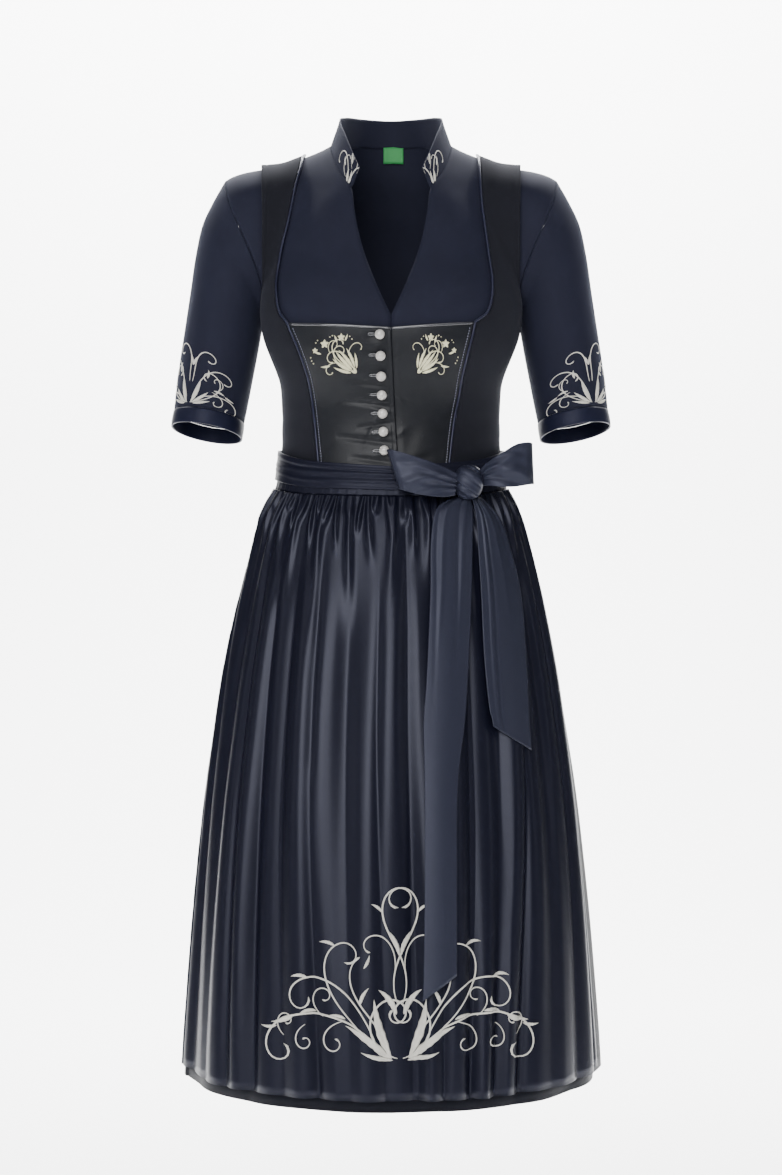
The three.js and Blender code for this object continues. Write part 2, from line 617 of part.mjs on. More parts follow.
// The front edge of the bodice's side piece: its strap, its corner and the front seam, by rows.
const FRONT_EDGES = { right: FRONT_EDGE_RIGHT, left: FRONT_EDGE_LEFT };
const STRAP_ROWS = 8;
const CORNER_ROWS = 3;
const SEAM_ROWS = 8;
const HOLE_ROWS = 10;
const SIDE_ROWS = STRAP_ROWS + CORNER_ROWS + SEAM_ROWS;
const BACK_STRAP_ROWS = 8;
const BACK_SEAM_ROWS = 11;
const BACK_ROWS = BACK_STRAP_ROWS + BACK_SEAM_ROWS;
const SHOULDER_EASE = 1.35;
const turnedWaist = (turn) => read(ROUND, 'turn', 'waist', Math.abs(turn > 180 ? 360 - turn : turn));
const besidePiping = PIPING.width / 2 + 6 * SEAM;
const pipingAbove = BODICE.inner + PIPING.thickness / 2 - CLEAR;

// How far down its first span a piping begins, clear of the shoulder seam.
const CORD_START = 0.07;

// The waist seam's height at a place across the front or the back.
function waistAt(x, before) {
  const section = torsoSection(-376);
  const turn = Math.asin((Math.abs(x) / section.half) ** (section.square / 2)) / DEGREE;
  return turnedWaist(before ? turn : 180 - turn);
}
const frontPoint = ([x, z]) => onFront(x, z ?? waistAt(x, true));
const backPoint = ([x, z]) => onBack(x, z ?? waistAt(x, false));

const strapTop = (side) => onShoulder(side * STRAP_TOP[0], STRAP_TOP[1]);

function sideSeam(side) {
  const places = [UNDERARM, -200, -235, -270, -302, -340, turnedWaist(90)];
  return spaced(places.map((z) => onSide(side, z)), SIDE_ROWS - HOLE_ROWS);
}
function bodiceArmhole(rows, side, spans) {
  const hole = [...mirrored(rows, side).map(onFigure), onSide(side, UNDERARM)];
  return spaced(hole, spans, SHOULDER_EASE);
}

// A bodice side panel's wall, whose last column runs down the armhole and the side seam.
function sideWall(grid) {
  const last = grid.points[0].length - 1;
  const lifted = (distance) => (i, j) => (
    distance + ARMHOLE_LIFT * smooth(i, last - 5, last) * (1 - smooth(j, HOLE_ROWS, HOLE_ROWS + 3)));
  return wall(grid, lifted(BODICE.inner), lifted(BODICE.outer));
}

function bodiceFront(name, side) {
  const edge = [strapTop(side), ...FRONT_EDGES[name].map(frontPoint)];
  const strap = spaced(edge.slice(0, CORNER - 1), STRAP_ROWS, SHOULDER_EASE);
  const corner = spaced(edge.slice(CORNER - 2, CORNER + 1), CORNER_ROWS);
  const seam = spaced(edge.slice(CORNER), SEAM_ROWS);
  const first = joined(strap, corner, seam);
  const outer = joined(bodiceArmhole(ARMHOLE_FRONT, side, HOLE_ROWS), sideSeam(side));
  const sideGrid = onGuides([first, between(first, outer), outer], [3, 4], { first: besidePiping });
  add(`side_front_${name}`, sideWall(sideGrid), BODICE_CLOTH);

  const centre = spaced(CENTRE_EDGE.map(frontPoint), SEAM_ROWS);
  const guides = [seam, between(seam, centre), centre];
  const leather = onGuides(guides, [3, 4], { first: besidePiping, top: BINDING.width + 2 * SEAM });
  add(`leather_front_${name}`, wall(leather, BODICE.inner, BODICE.outer), LEATHER);
  const trim = { first: besidePiping + 3 * SEAM, last: 4 * SEAM, top: BINDING.width / 2 };
  const binding = cordOnFigure(onGuides(guides, [3, 4], trim).points[0], BINDING.width, BINDING.thickness,
    BODICE.outer - BINDING.thickness / 2 + CLEAR);
  add(`top_binding_${name}`, binding, LEATHER);
  const line = [first[0].clone().lerp(first[1], CORD_START), ...first.slice(1)];
  add(`piping_${name}`, cordOnFigure(line, PIPING.width, PIPING.thickness, pipingAbove), PIPING_SATIN);
}

const backEdge = (side) => [strapTop(side), ...BACK_EDGE.map(([x, z]) => backPoint([side * x, z]))];
const backStrap = (side) => spaced(backEdge(side).slice(0, BACK_CORNER + 1), BACK_STRAP_ROWS, SHOULDER_EASE);
const backSeam = (side) => spaced(backEdge(side).slice(BACK_CORNER), BACK_SEAM_ROWS);

function bodiceSideBack(name, side) {
  const first = joined(backStrap(side), backSeam(side));
  const seamRows = SIDE_ROWS - HOLE_ROWS;
  const outer = joined(bodiceArmhole(ARMHOLE_BACK, side, BACK_ROWS - seamRows), sideSeam(side));
  const trim = { first: (j) => (j <= BACK_STRAP_ROWS ? besidePiping : SEAM) };
  const grid = onGuides([first, between(first, outer), outer], [4, 4], trim);
  add(`side_back_${name}`, sideWall(grid), BODICE_CLOTH);
}

function bodiceBack() {
  const across = 10;
  const right = backSeam(-1);
  const left = backSeam(1);
  const neck = spaced([right[0], onBack(0, BACK_NECK), left[0]], across).map(onFigure);
  const guides = neck.map((high, i) => right.map((p, j) => {
    const level = p.clone().lerp(left[j], i / across);
    return onFigure(level.add(V(0, 0, (high.z - right[0].z) * (1 - j / BACK_SEAM_ROWS))));
  }));
  const grid = onGuides(guides, guides.slice(1).map(() => 1), { top: besidePiping });
  add('back_centre', wall(grid, BODICE.inner, BODICE.outer), BODICE_CLOTH);
  const line = joined(backStrap(-1), guides.map((guide) => guide[0]), backStrap(1).reverse());
  line[0].lerp(line[1], CORD_START);
  line[line.length - 1].lerp(line[line.length - 2], CORD_START);
  add('piping_back', cordOnFigure(line, PIPING.width, PIPING.thickness, pipingAbove), PIPING_SATIN);
}

function bodice() {
  for (const { name, side } of SIDES) {
    bodiceFront(name, side);
    bodiceSideBack(name, side);
  }
  bodiceBack();
}

function closures() {
  const profile = [[0, 0], [0.7, 0], [1, 0.4], [0.78, 0.85], [0, 1]]
    .map(([r, h]) => new THREE.Vector2((r * BUTTON.diameter) / 2, h * BUTTON.height));
  const dome = new THREE.LatheGeometry(profile, 8);
  for (let k = 0; k < BUTTON.count; k += 1) {
    const place = k / (BUTTON.count - 1);
    const seat = onFront(mix(BUTTON.x_top, BUTTON.x_low, place), BUTTON.top - k * BUTTON.pitch);
    const up = slope(seat).normalize();
    const button = add(`button_${k + 1}`, dome, PEARL);
    button.quaternion.setFromUnitVectors(V(0, 1, 0), up);
    button.position.copy(seat).addScaledVector(up, WELT.outer + CLEAR);
    const guides = [-BUTTONHOLE.length - 1, -1].map((x) => (
      [0.5, -0.5].map((high) => onFront(seat.x + x, seat.z + high * BUTTONHOLE.height))));
    add(`buttonhole_${k + 1}`, wall(onGuides(guides, [2]), WELT.inner, WELT.outer), LEATHER);
  }
}

// A point on an ellipse-like ring with the torso's shape, and the level direction out of it.
function ringPoint(turn, z, section, lift) {
  const power = 2 / section.square;
  const s = Math.sin(turn * DEGREE);
  const c = Math.cos(turn * DEGREE);
  const x = section.half * Math.sign(s) * Math.abs(s) ** power;
  const y = section.middle - section.depth * Math.sign(c) * Math.abs(c) ** power;
  const out = V(s / section.half, -c / section.depth, 0).normalize();
  return { point: V(x, y, z).addScaledVector(out, lift), out };
}
const torsoPoint = (turn, z, lift) => ringPoint(turn, z, torsoSection(z), lift);

// A grid from rows of ring points.
const ringGrid = (rows) => ({
  points: rows.map((row) => row.map((p) => p.point)),
  normals: rows.map((row) => row.map((p) => p.out)),
});

function waistBands() {
  const step = 360 / TIE_COLUMNS;
  const bandColumns = (2 * APRON.edge) / step;
  const band = [1, 0].map((high) => Array.from({ length: bandColumns + 1 }, (_, i) => {
    const turn = i * step - APRON.edge;
    return torsoPoint(turn, turnedWaist(turn) - BAND_DROP + high * BAND_HEIGHT, 0);
  }));
  add('apron_waistband', wall(ringGrid(band), WAISTBAND.inner, WAISTBAND.outer), SATIN);

  const creases = [0.2, 1.3, 0.1, 1.1];
  const wrap = creases.map((_, j) => Array.from({ length: TIE_COLUMNS }, (__, i) => {
    const turn = i * step;
    const from = turn > 180 ? 360 - turn : turn;
    const high = read(ROUND, 'turn', 'tie_top', from);
    const low = read(ROUND, 'turn', 'tie_low', from);
    const behind = smooth(from, APRON.edge + 4, APRON.edge + 24);
    const closer = -behind * (WAISTBAND.outer - WAISTBAND.inner);
    return torsoPoint(turn, mix(high, low, j / (creases.length - 1)), closer);
  }));
  const creased = (distance) => (i, j) => distance + creases[j];
  add('tie_wrap', wall(ringGrid(wrap), creased(TIE.inner), creased(TIE.outer), true), SATIN);
}

// The fold table's ridges before and after a turn at the waist, and how far it is between them.
function betweenRidges(folds, turn) {
  let k = 0;
  while (k < folds.length - 2 && folds[k + 1].waist < turn) k += 1;
  const t = (turn - folds[k].waist) / (folds[k + 1].waist - folds[k].waist);
  return { before: folds[k], after: folds[k + 1], t };
}
function foldWave(folds, turn) {
  const { before, after, t } = betweenRidges(folds, turn);
  return mix(before.rise, after.rise, t) * Math.cos(2 * Math.PI * t);
}
function hemTurn(folds, turn) {
  const { before, after, t } = betweenRidges(folds, turn);
  return mix(before.hem, after.hem, t);
}

const WAIST_SECTION = torsoSection(-376);
const WAIST_GAP = 4 * SEAM;
function skirtSection(drop) {
  const side = read(FLARE, 'drop', 'side', drop);
  const before = read(FLARE, 'drop', 'front', drop);
  const behind = read(FLARE, 'drop', 'back', drop);
  const tidy = smooth(drop, 0, 120);
  return {
    half: WAIST_SECTION.half + side,
    middle: WAIST_SECTION.middle + (behind - before) / 2,
    depth: WAIST_SECTION.depth + (behind + before) / 2,
    square: mix(WAIST_SECTION.square, 2.05, tidy),
  };
}

// How far the skirt's inner face stands out from its plain flare.
function skirtFold(turn, drop, gather) {
  const back = smooth(Math.abs(turn > 180 ? 360 - turn : turn), 78, 100);
  const depth = mix(read(DEPTH, 'drop', 'skirt_front', drop), read(DEPTH, 'drop', 'skirt_back', drop), back);
  const gathered = read(DEPTH, 'drop', 'gathered', drop) * back;
  const wave = foldWave(SKIRT_FOLDS, turn < SKIRT_FIRST ? turn + 360 : turn);
  return depth * mix(wave, gather, gathered);
}

function skirtPoint(turn, down, gather) {
  const from = Math.abs(turn > 180 ? 360 - turn : turn);
  const top = turnedWaist(turn) - WAIST_GAP;
  const z = mix(top, read(ROUND, 'turn', 'hem', from), down);
  const drop = top - z;
  return ringPoint(turn, z, skirtSection(drop), BODICE.inner + skirtFold(turn, drop, gather));
}
const DOWN = [0, 0.02, 0.06, 0.13, 0.23, 0.38, 0.58, 0.79, 1];

function skirts() {
  const seamed = (reach) => reach * (1 - SEAM / SKIRT.waist_width);
  const frontColumns = 24;
  const front = DOWN.map((down) => Array.from({ length: frontColumns + 1 }, (_, i) => (
    skirtPoint(mix(-1, 1, i / frontColumns) * seamed(SKIRT.side), down, 0))));
  add('skirt_front', wall(ringGrid(front), 0, SKIRT_CLOTH), SKIRT_SATIN);
  const columns = 2 * SKIRT.back_gathers;
  const back = DOWN.map((down) => Array.from({ length: columns + 1 }, (_, i) => {
    const gather = i % columns === 0 ? 0 : (-1) ** (i + 1);
    return skirtPoint(180 + mix(-1, 1, i / columns) * seamed(180 - SKIRT.side), down, gather);
  }));
  add('skirt_back', wall(ringGrid(back), 0, SKIRT_CLOTH), SKIRT_SATIN);
}

// The apron's inner face: over the skirt, gathered at the band and folded below.
function apronLift(turn, drop, gather) {
  const depth = read(DEPTH, 'drop', 'apron', drop);
  const gathered = read(DEPTH, 'drop', 'gathered', drop);
  const edge = 1 - smooth(Math.abs(turn), APRON.edge - 5, APRON.edge);
  const wave = mix(foldWave(APRON_FOLDS, turn), gather, gathered);
  return APRON.above_skirt + depth * (1 + wave) * mix(0.3, 1, edge);
}

function apronPoint(turn, down, gather) {
  const spread = mix(down, smooth(down, 0, 1), APRON.early_spread);
  const there = mix(turn, hemTurn(APRON_FOLDS, turn), spread);
  const top = turnedWaist(there) - BAND_DROP - 2 * SEAM;
  const hem = read(ROUND, 'turn', 'hem', Math.abs(there)) + APRON.hem_above_skirt;
  const z = mix(top, hem, down);
  const drop = turnedWaist(there) - WAIST_GAP - z;
  const skirt = BODICE.inner + skirtFold(there, drop, 0) + SKIRT_CLOTH;
  return ringPoint(there, z, skirtSection(drop), skirt + apronLift(turn, drop, gather));
}

function apron() {
  const columns = 2 * APRON.gathers;
  const panel = DOWN.map((down) => Array.from({ length: columns + 1 }, (_, i) => {
    const gather = i % 2 ? -1 : 1;
    return apronPoint(mix(-APRON.edge, APRON.edge, i / columns), down, gather);
  }));
  add('apron_panel', wall(ringGrid(panel), 0, APRON_CLOTH), SATIN);
}

// How far forward the apron's outermost folds reach at a place of the front.
function apronFront(x, z) {
  const drop = turnedWaist(0) - z;
  const section = skirtSection(drop);
  const out = BODICE.inner + SKIRT_CLOTH + APRON.above_skirt + APRON_CLOTH
    + read(DEPTH, 'drop', 'skirt_front', drop) + APRON.ridges * read(DEPTH, 'drop', 'apron', drop);
  const half = section.half + out;
  const depth = section.depth + out;
  return section.middle - depth * (1 - Math.abs(x / half) ** section.square) ** (1 / section.square);
}

function tail(rows, rise) {
  const across = 4;
  return rows.map((row, j) => Array.from({ length: across + 1 }, (_, i) => {
    const t = i / across;
    const last = smooth(j, rows.length - 3, rows.length - 1);
    const x = mix(row.right, row.left, t);
    const z = row.z + last * Math.max(rise * t, -rise * (1 - t));
    const bulge = Math.sin(t * Math.PI) * TAIL_BULGE;
    return V(x, apronFront(x, z) - row.off - bulge, z);
  }));
}

function bow() {
  const band = (rows) => [1, 0.4, -0.4, -1].map((high) => {
    const path = curve(rows.map((r) => V(r.x + high * r.lean, r.y, r.z + high * r.half)));
    return path.getPoints(16);
  });
  add('bow_loop_right', wall(withNormals(band(BOW_LOOP_RIGHT), 1), -RIBBON / 2, RIBBON / 2), SATIN);
  add('bow_loop_left', wall(withNormals(band(BOW_LOOP_LEFT), -1), -RIBBON / 2, RIBBON / 2), SATIN);
  const knot = new THREE.SphereGeometry(1, 12, 8);
  knot.rotateX(Math.PI / 2);
  knot.scale(KNOT.wide, KNOT.deep, KNOT.high);
  add('bow_knot', knot, SATIN).position.set(KNOT.x, KNOT.y, KNOT.z);
  add('tail_long', wall(withNormals(tail(TAIL_LONG, TAIL_LONG_RISE), -1), -RIBBON / 2, RIBBON / 2), SATIN);
  add('tail_short', wall(withNormals(tail(TAIL_SHORT, TAIL_SHORT_RISE), -1), -RIBBON / 2, RIBBON / 2), SATIN);
}

blouse();
collar();
label();
sleeves();
bodice();
closures();
waistBands();
skirts();
apron();
bow();

export default dirndl;
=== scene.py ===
# The looks of a dirndl set in its worn form: a blouse with a stand collar and half sleeves, a
# sleeveless dress with a leather front and a gathered skirt, and a gathered apron whose ties wrap
# round the waist into a bow. Sizes are in millimetres in the solids' frame until a mesh is made.
import json
import math

import bpy
import numpy as np
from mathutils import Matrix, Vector
from mathutils.bvhtree import BVHTree

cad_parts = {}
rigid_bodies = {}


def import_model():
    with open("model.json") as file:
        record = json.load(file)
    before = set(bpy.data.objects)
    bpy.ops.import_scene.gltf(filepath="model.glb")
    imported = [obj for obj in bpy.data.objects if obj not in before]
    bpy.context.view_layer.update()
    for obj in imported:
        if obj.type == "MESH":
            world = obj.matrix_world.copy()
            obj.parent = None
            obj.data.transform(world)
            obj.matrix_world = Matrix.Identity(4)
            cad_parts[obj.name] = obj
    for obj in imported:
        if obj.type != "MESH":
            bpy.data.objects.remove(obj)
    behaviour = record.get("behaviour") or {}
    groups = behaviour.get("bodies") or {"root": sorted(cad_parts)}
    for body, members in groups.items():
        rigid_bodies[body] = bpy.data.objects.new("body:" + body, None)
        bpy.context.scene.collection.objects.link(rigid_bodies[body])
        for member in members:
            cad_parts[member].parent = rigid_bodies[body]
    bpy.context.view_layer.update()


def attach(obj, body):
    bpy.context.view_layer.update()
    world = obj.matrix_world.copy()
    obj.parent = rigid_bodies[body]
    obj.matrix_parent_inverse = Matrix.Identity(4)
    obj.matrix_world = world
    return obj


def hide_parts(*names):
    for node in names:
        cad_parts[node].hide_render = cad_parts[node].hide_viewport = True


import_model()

MM = 0.001
DEGREE = math.pi / 180

# How many times finer than the solids the cloth is, down and across.
DOWN_FINER = 4
ACROSS_FINER = 4

# Cloth layers: inner and outer distance from the figure's surface.
BLOUSE = (0.0, 1.0)
LABEL = (-1.9, -1.1)
BODICE = (2.8, 4.6)
WAISTBAND = (5.8, 7.2)
TIE = (7.7, 8.9)
SKIRT_CLOTH = 1.5
APRON_CLOTH = 1.2
RIBBON = 1.2
COLLAR_CLOTH = 1.4
CUFF_CLOTH = 1.6
ARMHOLE_LIFT = 2
SEAM = 0.15
PIPING_WIDTH = 3.0
BINDING_WIDTH = 3.4
BESIDE_PIPING = PIPING_WIDTH / 2 + 2 * SEAM
BAND_HEIGHT = 32
BAND_DROP = 1.5


def table(names, *rows):
    """A table with named columns."""
    values = np.array(rows, float)
    return {name: values[:, k] for k, name in enumerate(names.split())}


# The general figure: its torso sections, with the half width and the depths before and behind y 0.
TORSO = table(
    "z half front back square",
    (-400, 136, 98, 86, 2.2), (-350, 125.5, 93, 76, 2.2), (-302, 123.4, 92, 72, 2.2),
    (-259, 124.6, 99, 78, 2.3), (-217, 130, 107, 88, 2.4), (-188, 136.5, 108, 95, 2.5),
    (-165, 141, 105, 99, 2.7), (-130, 142, 98, 103, 2.9), (-90, 138, 89, 101, 2.9),
    (-50, 126, 76, 92, 2.6), (-20, 106, 64, 82, 2.3), (10, 72, 50, 68, 2), (40, 45, 30, 54, 2),
)
TORSO_TOP = 40
BUST = {"x": 48, "cleft": 20, "y": -58, "z": -186, "wide": 82, "deep": 53, "high": 60, "blend": 60}
BONES = (
    {"from": (50, 14, -7), "to": (160, 0, -57), "start": 42, "end": 46, "blend": 30},
    {"from": (0, 22, -10), "to": (0, 33, 100), "start": 47, "end": 46, "blend": 26},
)
ARM = (
    {"from": (165, 0, -58), "to": (197.5, -4, -188), "start": 47.5, "end": 43.5},
    {"from": (197.5, -4, -188), "to": (215, -20, -330), "start": 43.5, "end": 41.5},
)
ARM_BLEND = {"low": 10, "high": 34, "from": -168, "to": -105}

# The sleeve's sections from the armhole to the cuff's end: the outermost and innermost point,
# half the depth, how far the middle has come forward, and how far the back drops.
SLEEVE = table(
    "outer_x outer_z inner_x inner_z depth forward drop",
    (190, -19, 149, -165, 49, 0, 0), (209, -37, 150, -171, 49.5, 0, 0),
    (221, -63, 151.5, -178, 49, 1, 1), (229, -99, 154, -192, 47.5, 2, 2),
    (235, -141, 157.5, -213, 45.5, 4, 3), (241.5, -186, 162.5, -240, 44, 7, 5),
    (248, -234, 168, -270, 43, 11, 7), (253.5, -284, 173.5, -298, 42.5, 15, 8),
    (256, -302, 176, -316, 42.5, 17, 8),
)
SLEEVE_END = 7
CUFF_END = 8
ARMHOLE_SCOOP = 6

# Half of the stand collar, from its front end to the centre back: the seam and the upper edge.
COLLAR_SEAM = ((45, -62, -30), (57, -50, -12), (67, -27, 12), (70, 6, 30), (60, 44, 39), (34, 67, 42),
    (0, 76, 42))
COLLAR_EDGE = ((36, -63, -6), (45, -52, 15), (54, -31, 40), (60, 2, 61), (54, 42, 73), (31, 69, 76),
    (0, 78, 76))
NECK_SIDE = 3
NECKLINE = ((42, -53), (37, -82), (30, -109), (18.5, -141), (9, -163), (0, -182))
BLOUSE_HEM = -232

# The bodice's front edges, as x and z, down the strap's inner edge, round its corner and down the
# front seam to the waist, and its other edges.
FRONT_EDGE_RIGHT = (
    (-105, 0), (-111, -28), (-118, -71), (-125, -110), (-128.5, -138), (-128, -158),
    (-124.5, -176), (-115.5, -189), (-103, -219), (-94, -245), (-89, -269), (-86, -295), (-82, -340),
    (-79, None),
)
FRONT_EDGE_LEFT = (
    (102.5, 0), (103, -28), (105.5, -71), (110, -110), (113.5, -138), (113, -159),
    (107.5, -178), (94, -189), (86, -222), (80, -246), (76, -270), (71, -297), (66, -340), (62, None),
)
CORNER = 8
CENTRE_EDGE = ((0, -196), (2, -240), (5, -300), (8, -350), (9, None))

# Where the straps of the front and the back meet on the shoulder, as x and y: their inner end.
STRAP_TOP = (100, 4)
BACK_EDGE = ((98, 0), (93, -40), (84, -78), (70, -140), (56, -220), (46, -300), (44, None))
BACK_CORNER = 3
BACK_NECK = -92
ARMHOLE_FRONT = ((151, 2, 0), (151, -40, -28), (151, -47, -70), (150.5, -42, -110), (148.5, -31.5, -143.5),
    (142, -15, -167.5))
ARMHOLE_BACK = ((151, 2, 0), (151, 42, -28), (151, 48, -70), (150.5, 43, -110), (146.5, 34, -140),
    (140, 19, -164))
UNDERARM = -176

# Heights that change round the body, by the turn from the front.
ROUND = table(
    "turn waist tie_top tie_low hem",
    (0, -385, -352, -379.5, -1063), (45, -381, -344, -374.5, -1060),
    (90, -371, -329, -362.5, -1050), (180, -366, -324, -357, -1050),
)

# How far the skirt has flared from the waist, by the drop below it.
FLARE = table(
    "drop side front back",
    (0, 0, 0, 0), (14, 6.5, 4, 6), (36, 16, 10, 16), (72, 27, 19, 29), (110, 37, 28, 40),
    (145, 44.5, 35, 48), (215, 58.5, 48, 62), (285, 69.5, 60, 73), (355, 79.5, 71, 83),
    (425, 87.5, 80.5, 92), (495, 94.5, 89, 100), (565, 100.5, 97, 107), (635, 106, 103.5, 112.5),
    (695, 109.5, 108, 116),
)

# How deep gathers and folds are, by the drop below the waist.
DEPTH = table(
    "drop apron skirt_front skirt_back gathered",
    (0, 1.6, 0.3, 1.6, 1), (20, 2.8, 0.5, 2.6, 1), (70, 2.8, 0.8, 3, 0.6),
    (160, 3.6, 1.2, 4.5, 0.2), (300, 4.6, 1.8, 6.5, 0), (695, 6.4, 3, 9, 0),
)

# The ridges of the main folds: their turn at the waist and at the hem, and their height.
APRON_FOLDS = table(
    "waist hem rise",
    (-84, -80, 0.3), (-77, -72, 0.7), (-70, -60, 0.8), (-61, -51, 0.7), (-51, -42, 1),
    (-43, -32.5, 0.6), (-34, -23, 0.9), (-21, -14, 1), (-10, -5.5, 0.7), (1, 2, 0.9), (10, 9, 1),
    (22, 16, 0.6), (35, 23, 0.8), (47, 30, 1.5), (56, 39, 0.8), (64, 50, 1), (72, 64, 0.8),
    (78, 74, 0.7), (84, 80, 0.3),
)
SKIRT_FOLDS = table(
    "waist hem rise",
    (-74, -70, 0.8), (-53, -50, 1), (-27, -25, 0.7), (-2, -2, 0.8), (22, 20, 0.7), (45, 42, 1),
    (68, 66, 0.8), (87, 88, 0.6), (101, 104, 1), (117, 119, 0.7), (130, 131, 1), (147, 145, 0.8),
    (160, 160, 1), (176, 174, 0.7), (190, 190, 0.9), (206, 207, 1), (223, 221, 0.7), (237, 236, 1),
    (253, 251, 0.9), (271, 270, 0.7), (286, 290, 0.8),
)
SKIRT_FIRST = -74
APRON = {"edge": 80, "hem_above_skirt": 14, "above_skirt": 1.8, "early_spread": 0.4, "ridges": 2.2}
SKIRT = {"side": 90, "back_gathers": 30}

# The bow's loops as a band that leaves the knot in front, turns and comes back behind: the place
# of the band's middle, its half height and how far its upper edge leans to the wearer's right.
BOW_LOOP_RIGHT = table(
    "x y z half lean",
    (74, -115, -374, 12, 2), (60, -121, -371, 17, 0), (42, -126.5, -367, 20, -1), (22, -128.5, -362, 22, -3),
    (5, -126, -357, 22.5, -6), (2.5, -120, -356.5, 22, -7), (8, -114, -358, 21, -6),
    (24, -111.5, -362, 20, -3),
    (44, -109, -367, 18, 0), (60, -106.5, -371, 15, 0), (73, -105, -374, 11, 2),
)
BOW_LOOP_LEFT = table(
    "x y z half lean",
    (101.2, -108, -366, 8, -2), (112, -115, -361, 14, -1), (126, -118, -357, 19.5, 0),
    (142, -116, -352, 24, 0),
    (156, -109, -349.5, 24, 0), (161, -99, -350, 22.5, -1), (153, -91, -352, 21, 0), (134, -91, -355, 19, 0),
    (118, -95, -360, 14, 0), (101.4, -100, -366, 8, -2),
)
KNOT = {"x": 88, "y": -104.2, "z": -370.5, "wide": 16.4, "deep": 17.4, "high": 19.6}

# The ties' free tails, by height: the two edges' x and how far they stand off the apron.
TAIL_LONG = table(
    "z right left off",
    (-387.2, 74, 89, 6), (-397, 54, 93, 2.5), (-430, 45.5, 92.5, 1.5), (-495, 44, 91, 1), (-590, 39.5, 86, 1),
    (-640, 36, 82, 1), (-705, 37, 74, 1), (-800, 37, 72.5, 1), (-910, 35.5, 72, 1), (-940, 34.5, 72, 1),
)
TAIL_LONG_RISE = 26
TAIL_SHORT = table(
    "z right left off",
    (-387.2, 92, 103, 8), (-410, 97, 124, 3), (-450, 99, 138, 2.5), (-495, 101.5, 148, 2),
    (-560, 104, 153, 2),
    (-640, 110, 156, 2), (-673, 114, 158, 2),
)
TAIL_SHORT_RISE = -28
TAIL_BULGE = 1.5

BUTTON = {"count": 7, "diameter": 11.4, "height": 8.4, "pitch": 21.8, "top": -204, "x_top": -13,
    "x_low": -7.5}
BUTTONHOLE = {"length": 13}
LABEL_SIZE = {"width": 25, "height": 18, "x": 3, "top": 38.6}


# Numbers, tables and curves.
def mix(a, b, t):
    return a + (b - a) * t


def smooth(x, low, high):
    t = np.clip((x - low) / (high - low), 0, 1)
    return t * t * (3 - 2 * t)


def bump(x, width):
    return np.exp(-(x / width) ** 2)


def read(rows, by, key, at):
    """A smooth curve through one column of a table, read at places along another column."""
    place, value, at = rows[by], rows[key], np.asarray(at, float)
    if place[-1] < place[0]:
        place, at = -place, -at
    at = np.clip(at, place[0], place[-1])
    last = len(place) - 1
    k = np.clip(np.searchsorted(place, at, side="right") - 1, 0, last - 1)
    before, after = np.maximum(k - 1, 0), np.minimum(k + 2, last)
    span = place[k + 1] - place[k]
    t = (at - place[k]) / span
    leaving = (value[k + 1] - value[before]) / (place[k + 1] - place[before]) * span
    arriving = (value[after] - value[k]) / (place[after] - place[k]) * span
    a, b = value[k], value[k + 1]
    square = 3 * (b - a) - 2 * leaving - arriving
    cube = 2 * (a - b) + leaving + arriving
    return a + t * leaving + t**2 * square + t**3 * cube


def unit(v):
    return v / np.maximum(np.linalg.norm(v, axis=-1, keepdims=True), 1e-9)


def curve(points, samples=60):
    """Close places along a smooth centripetal curve through points."""
    p = np.asarray(points, float)
    p = np.vstack([2 * p[0] - p[1], p, 2 * p[-1] - p[-2]])
    t = np.linspace(0, 1, samples, endpoint=False)[:, None]
    runs = []
    for k in range(1, len(p) - 2):
        p0, p1, p2, p3 = p[k - 1:k + 3]
        d0, d1, d2 = (max(np.linalg.norm(b - a), 1e-6) ** 0.5 for a, b in ((p0, p1), (p1, p2), (p2, p3)))
        leaving = ((p1 - p0) / d0 - (p2 - p0) / (d0 + d1) + (p2 - p1) / d1) * d1
        arriving = ((p2 - p1) / d1 - (p3 - p1) / (d1 + d2) + (p3 - p2) / d2) * d1
        runs.append(p1 + leaving * t + (3 * (p2 - p1) - 2 * leaving - arriving) * t**2
                    + (2 * (p1 - p2) + leaving + arriving) * t**3)
    return np.vstack([*runs, p[-2:-1]])


def along(line):
    """The length along a line of places, at each of them."""
    return np.concatenate([[0], np.cumsum(np.linalg.norm(np.diff(line, axis=0), axis=1))])


def spaced(points, spans, ease=1.0):
    """Points along a smooth curve, closer together at its start where ease is over 1."""
    line = curve(points)
    length = along(line)
    at = length[-1] * (np.arange(spans + 1) / spans) ** ease
    return np.stack([np.interp(at, length, line[:, k]) for k in range(3)], axis=1)


def joined(*runs):
    return np.vstack([runs[0], *(run[1:] for run in runs[1:])])


# The general figure.
def bone_distance(p, bone):
    start = np.array(bone["from"], float)
    whole = np.array(bone["to"], float) - start
    t = np.clip((p - start) @ whole / (whole @ whole), 0, 1)
    return np.linalg.norm(p - start - t[..., None] * whole, axis=-1) - mix(bone["start"], bone["end"], t)


def blended(a, b, width):
    """The smaller of two distances, rounded where they meet."""
    near = np.maximum(width - np.abs(a - b), 0) / width
    return np.minimum(a, b) - near * near * width / 4


def torso_section(z):
    front, back = read(TORSO, "z", "front", z), read(TORSO, "z", "back", z)
    return {"half": read(TORSO, "z", "half", z), "middle": (back - front) / 2, "depth": (back + front) / 2,
            "square": read(TORSO, "z", "square", z)}


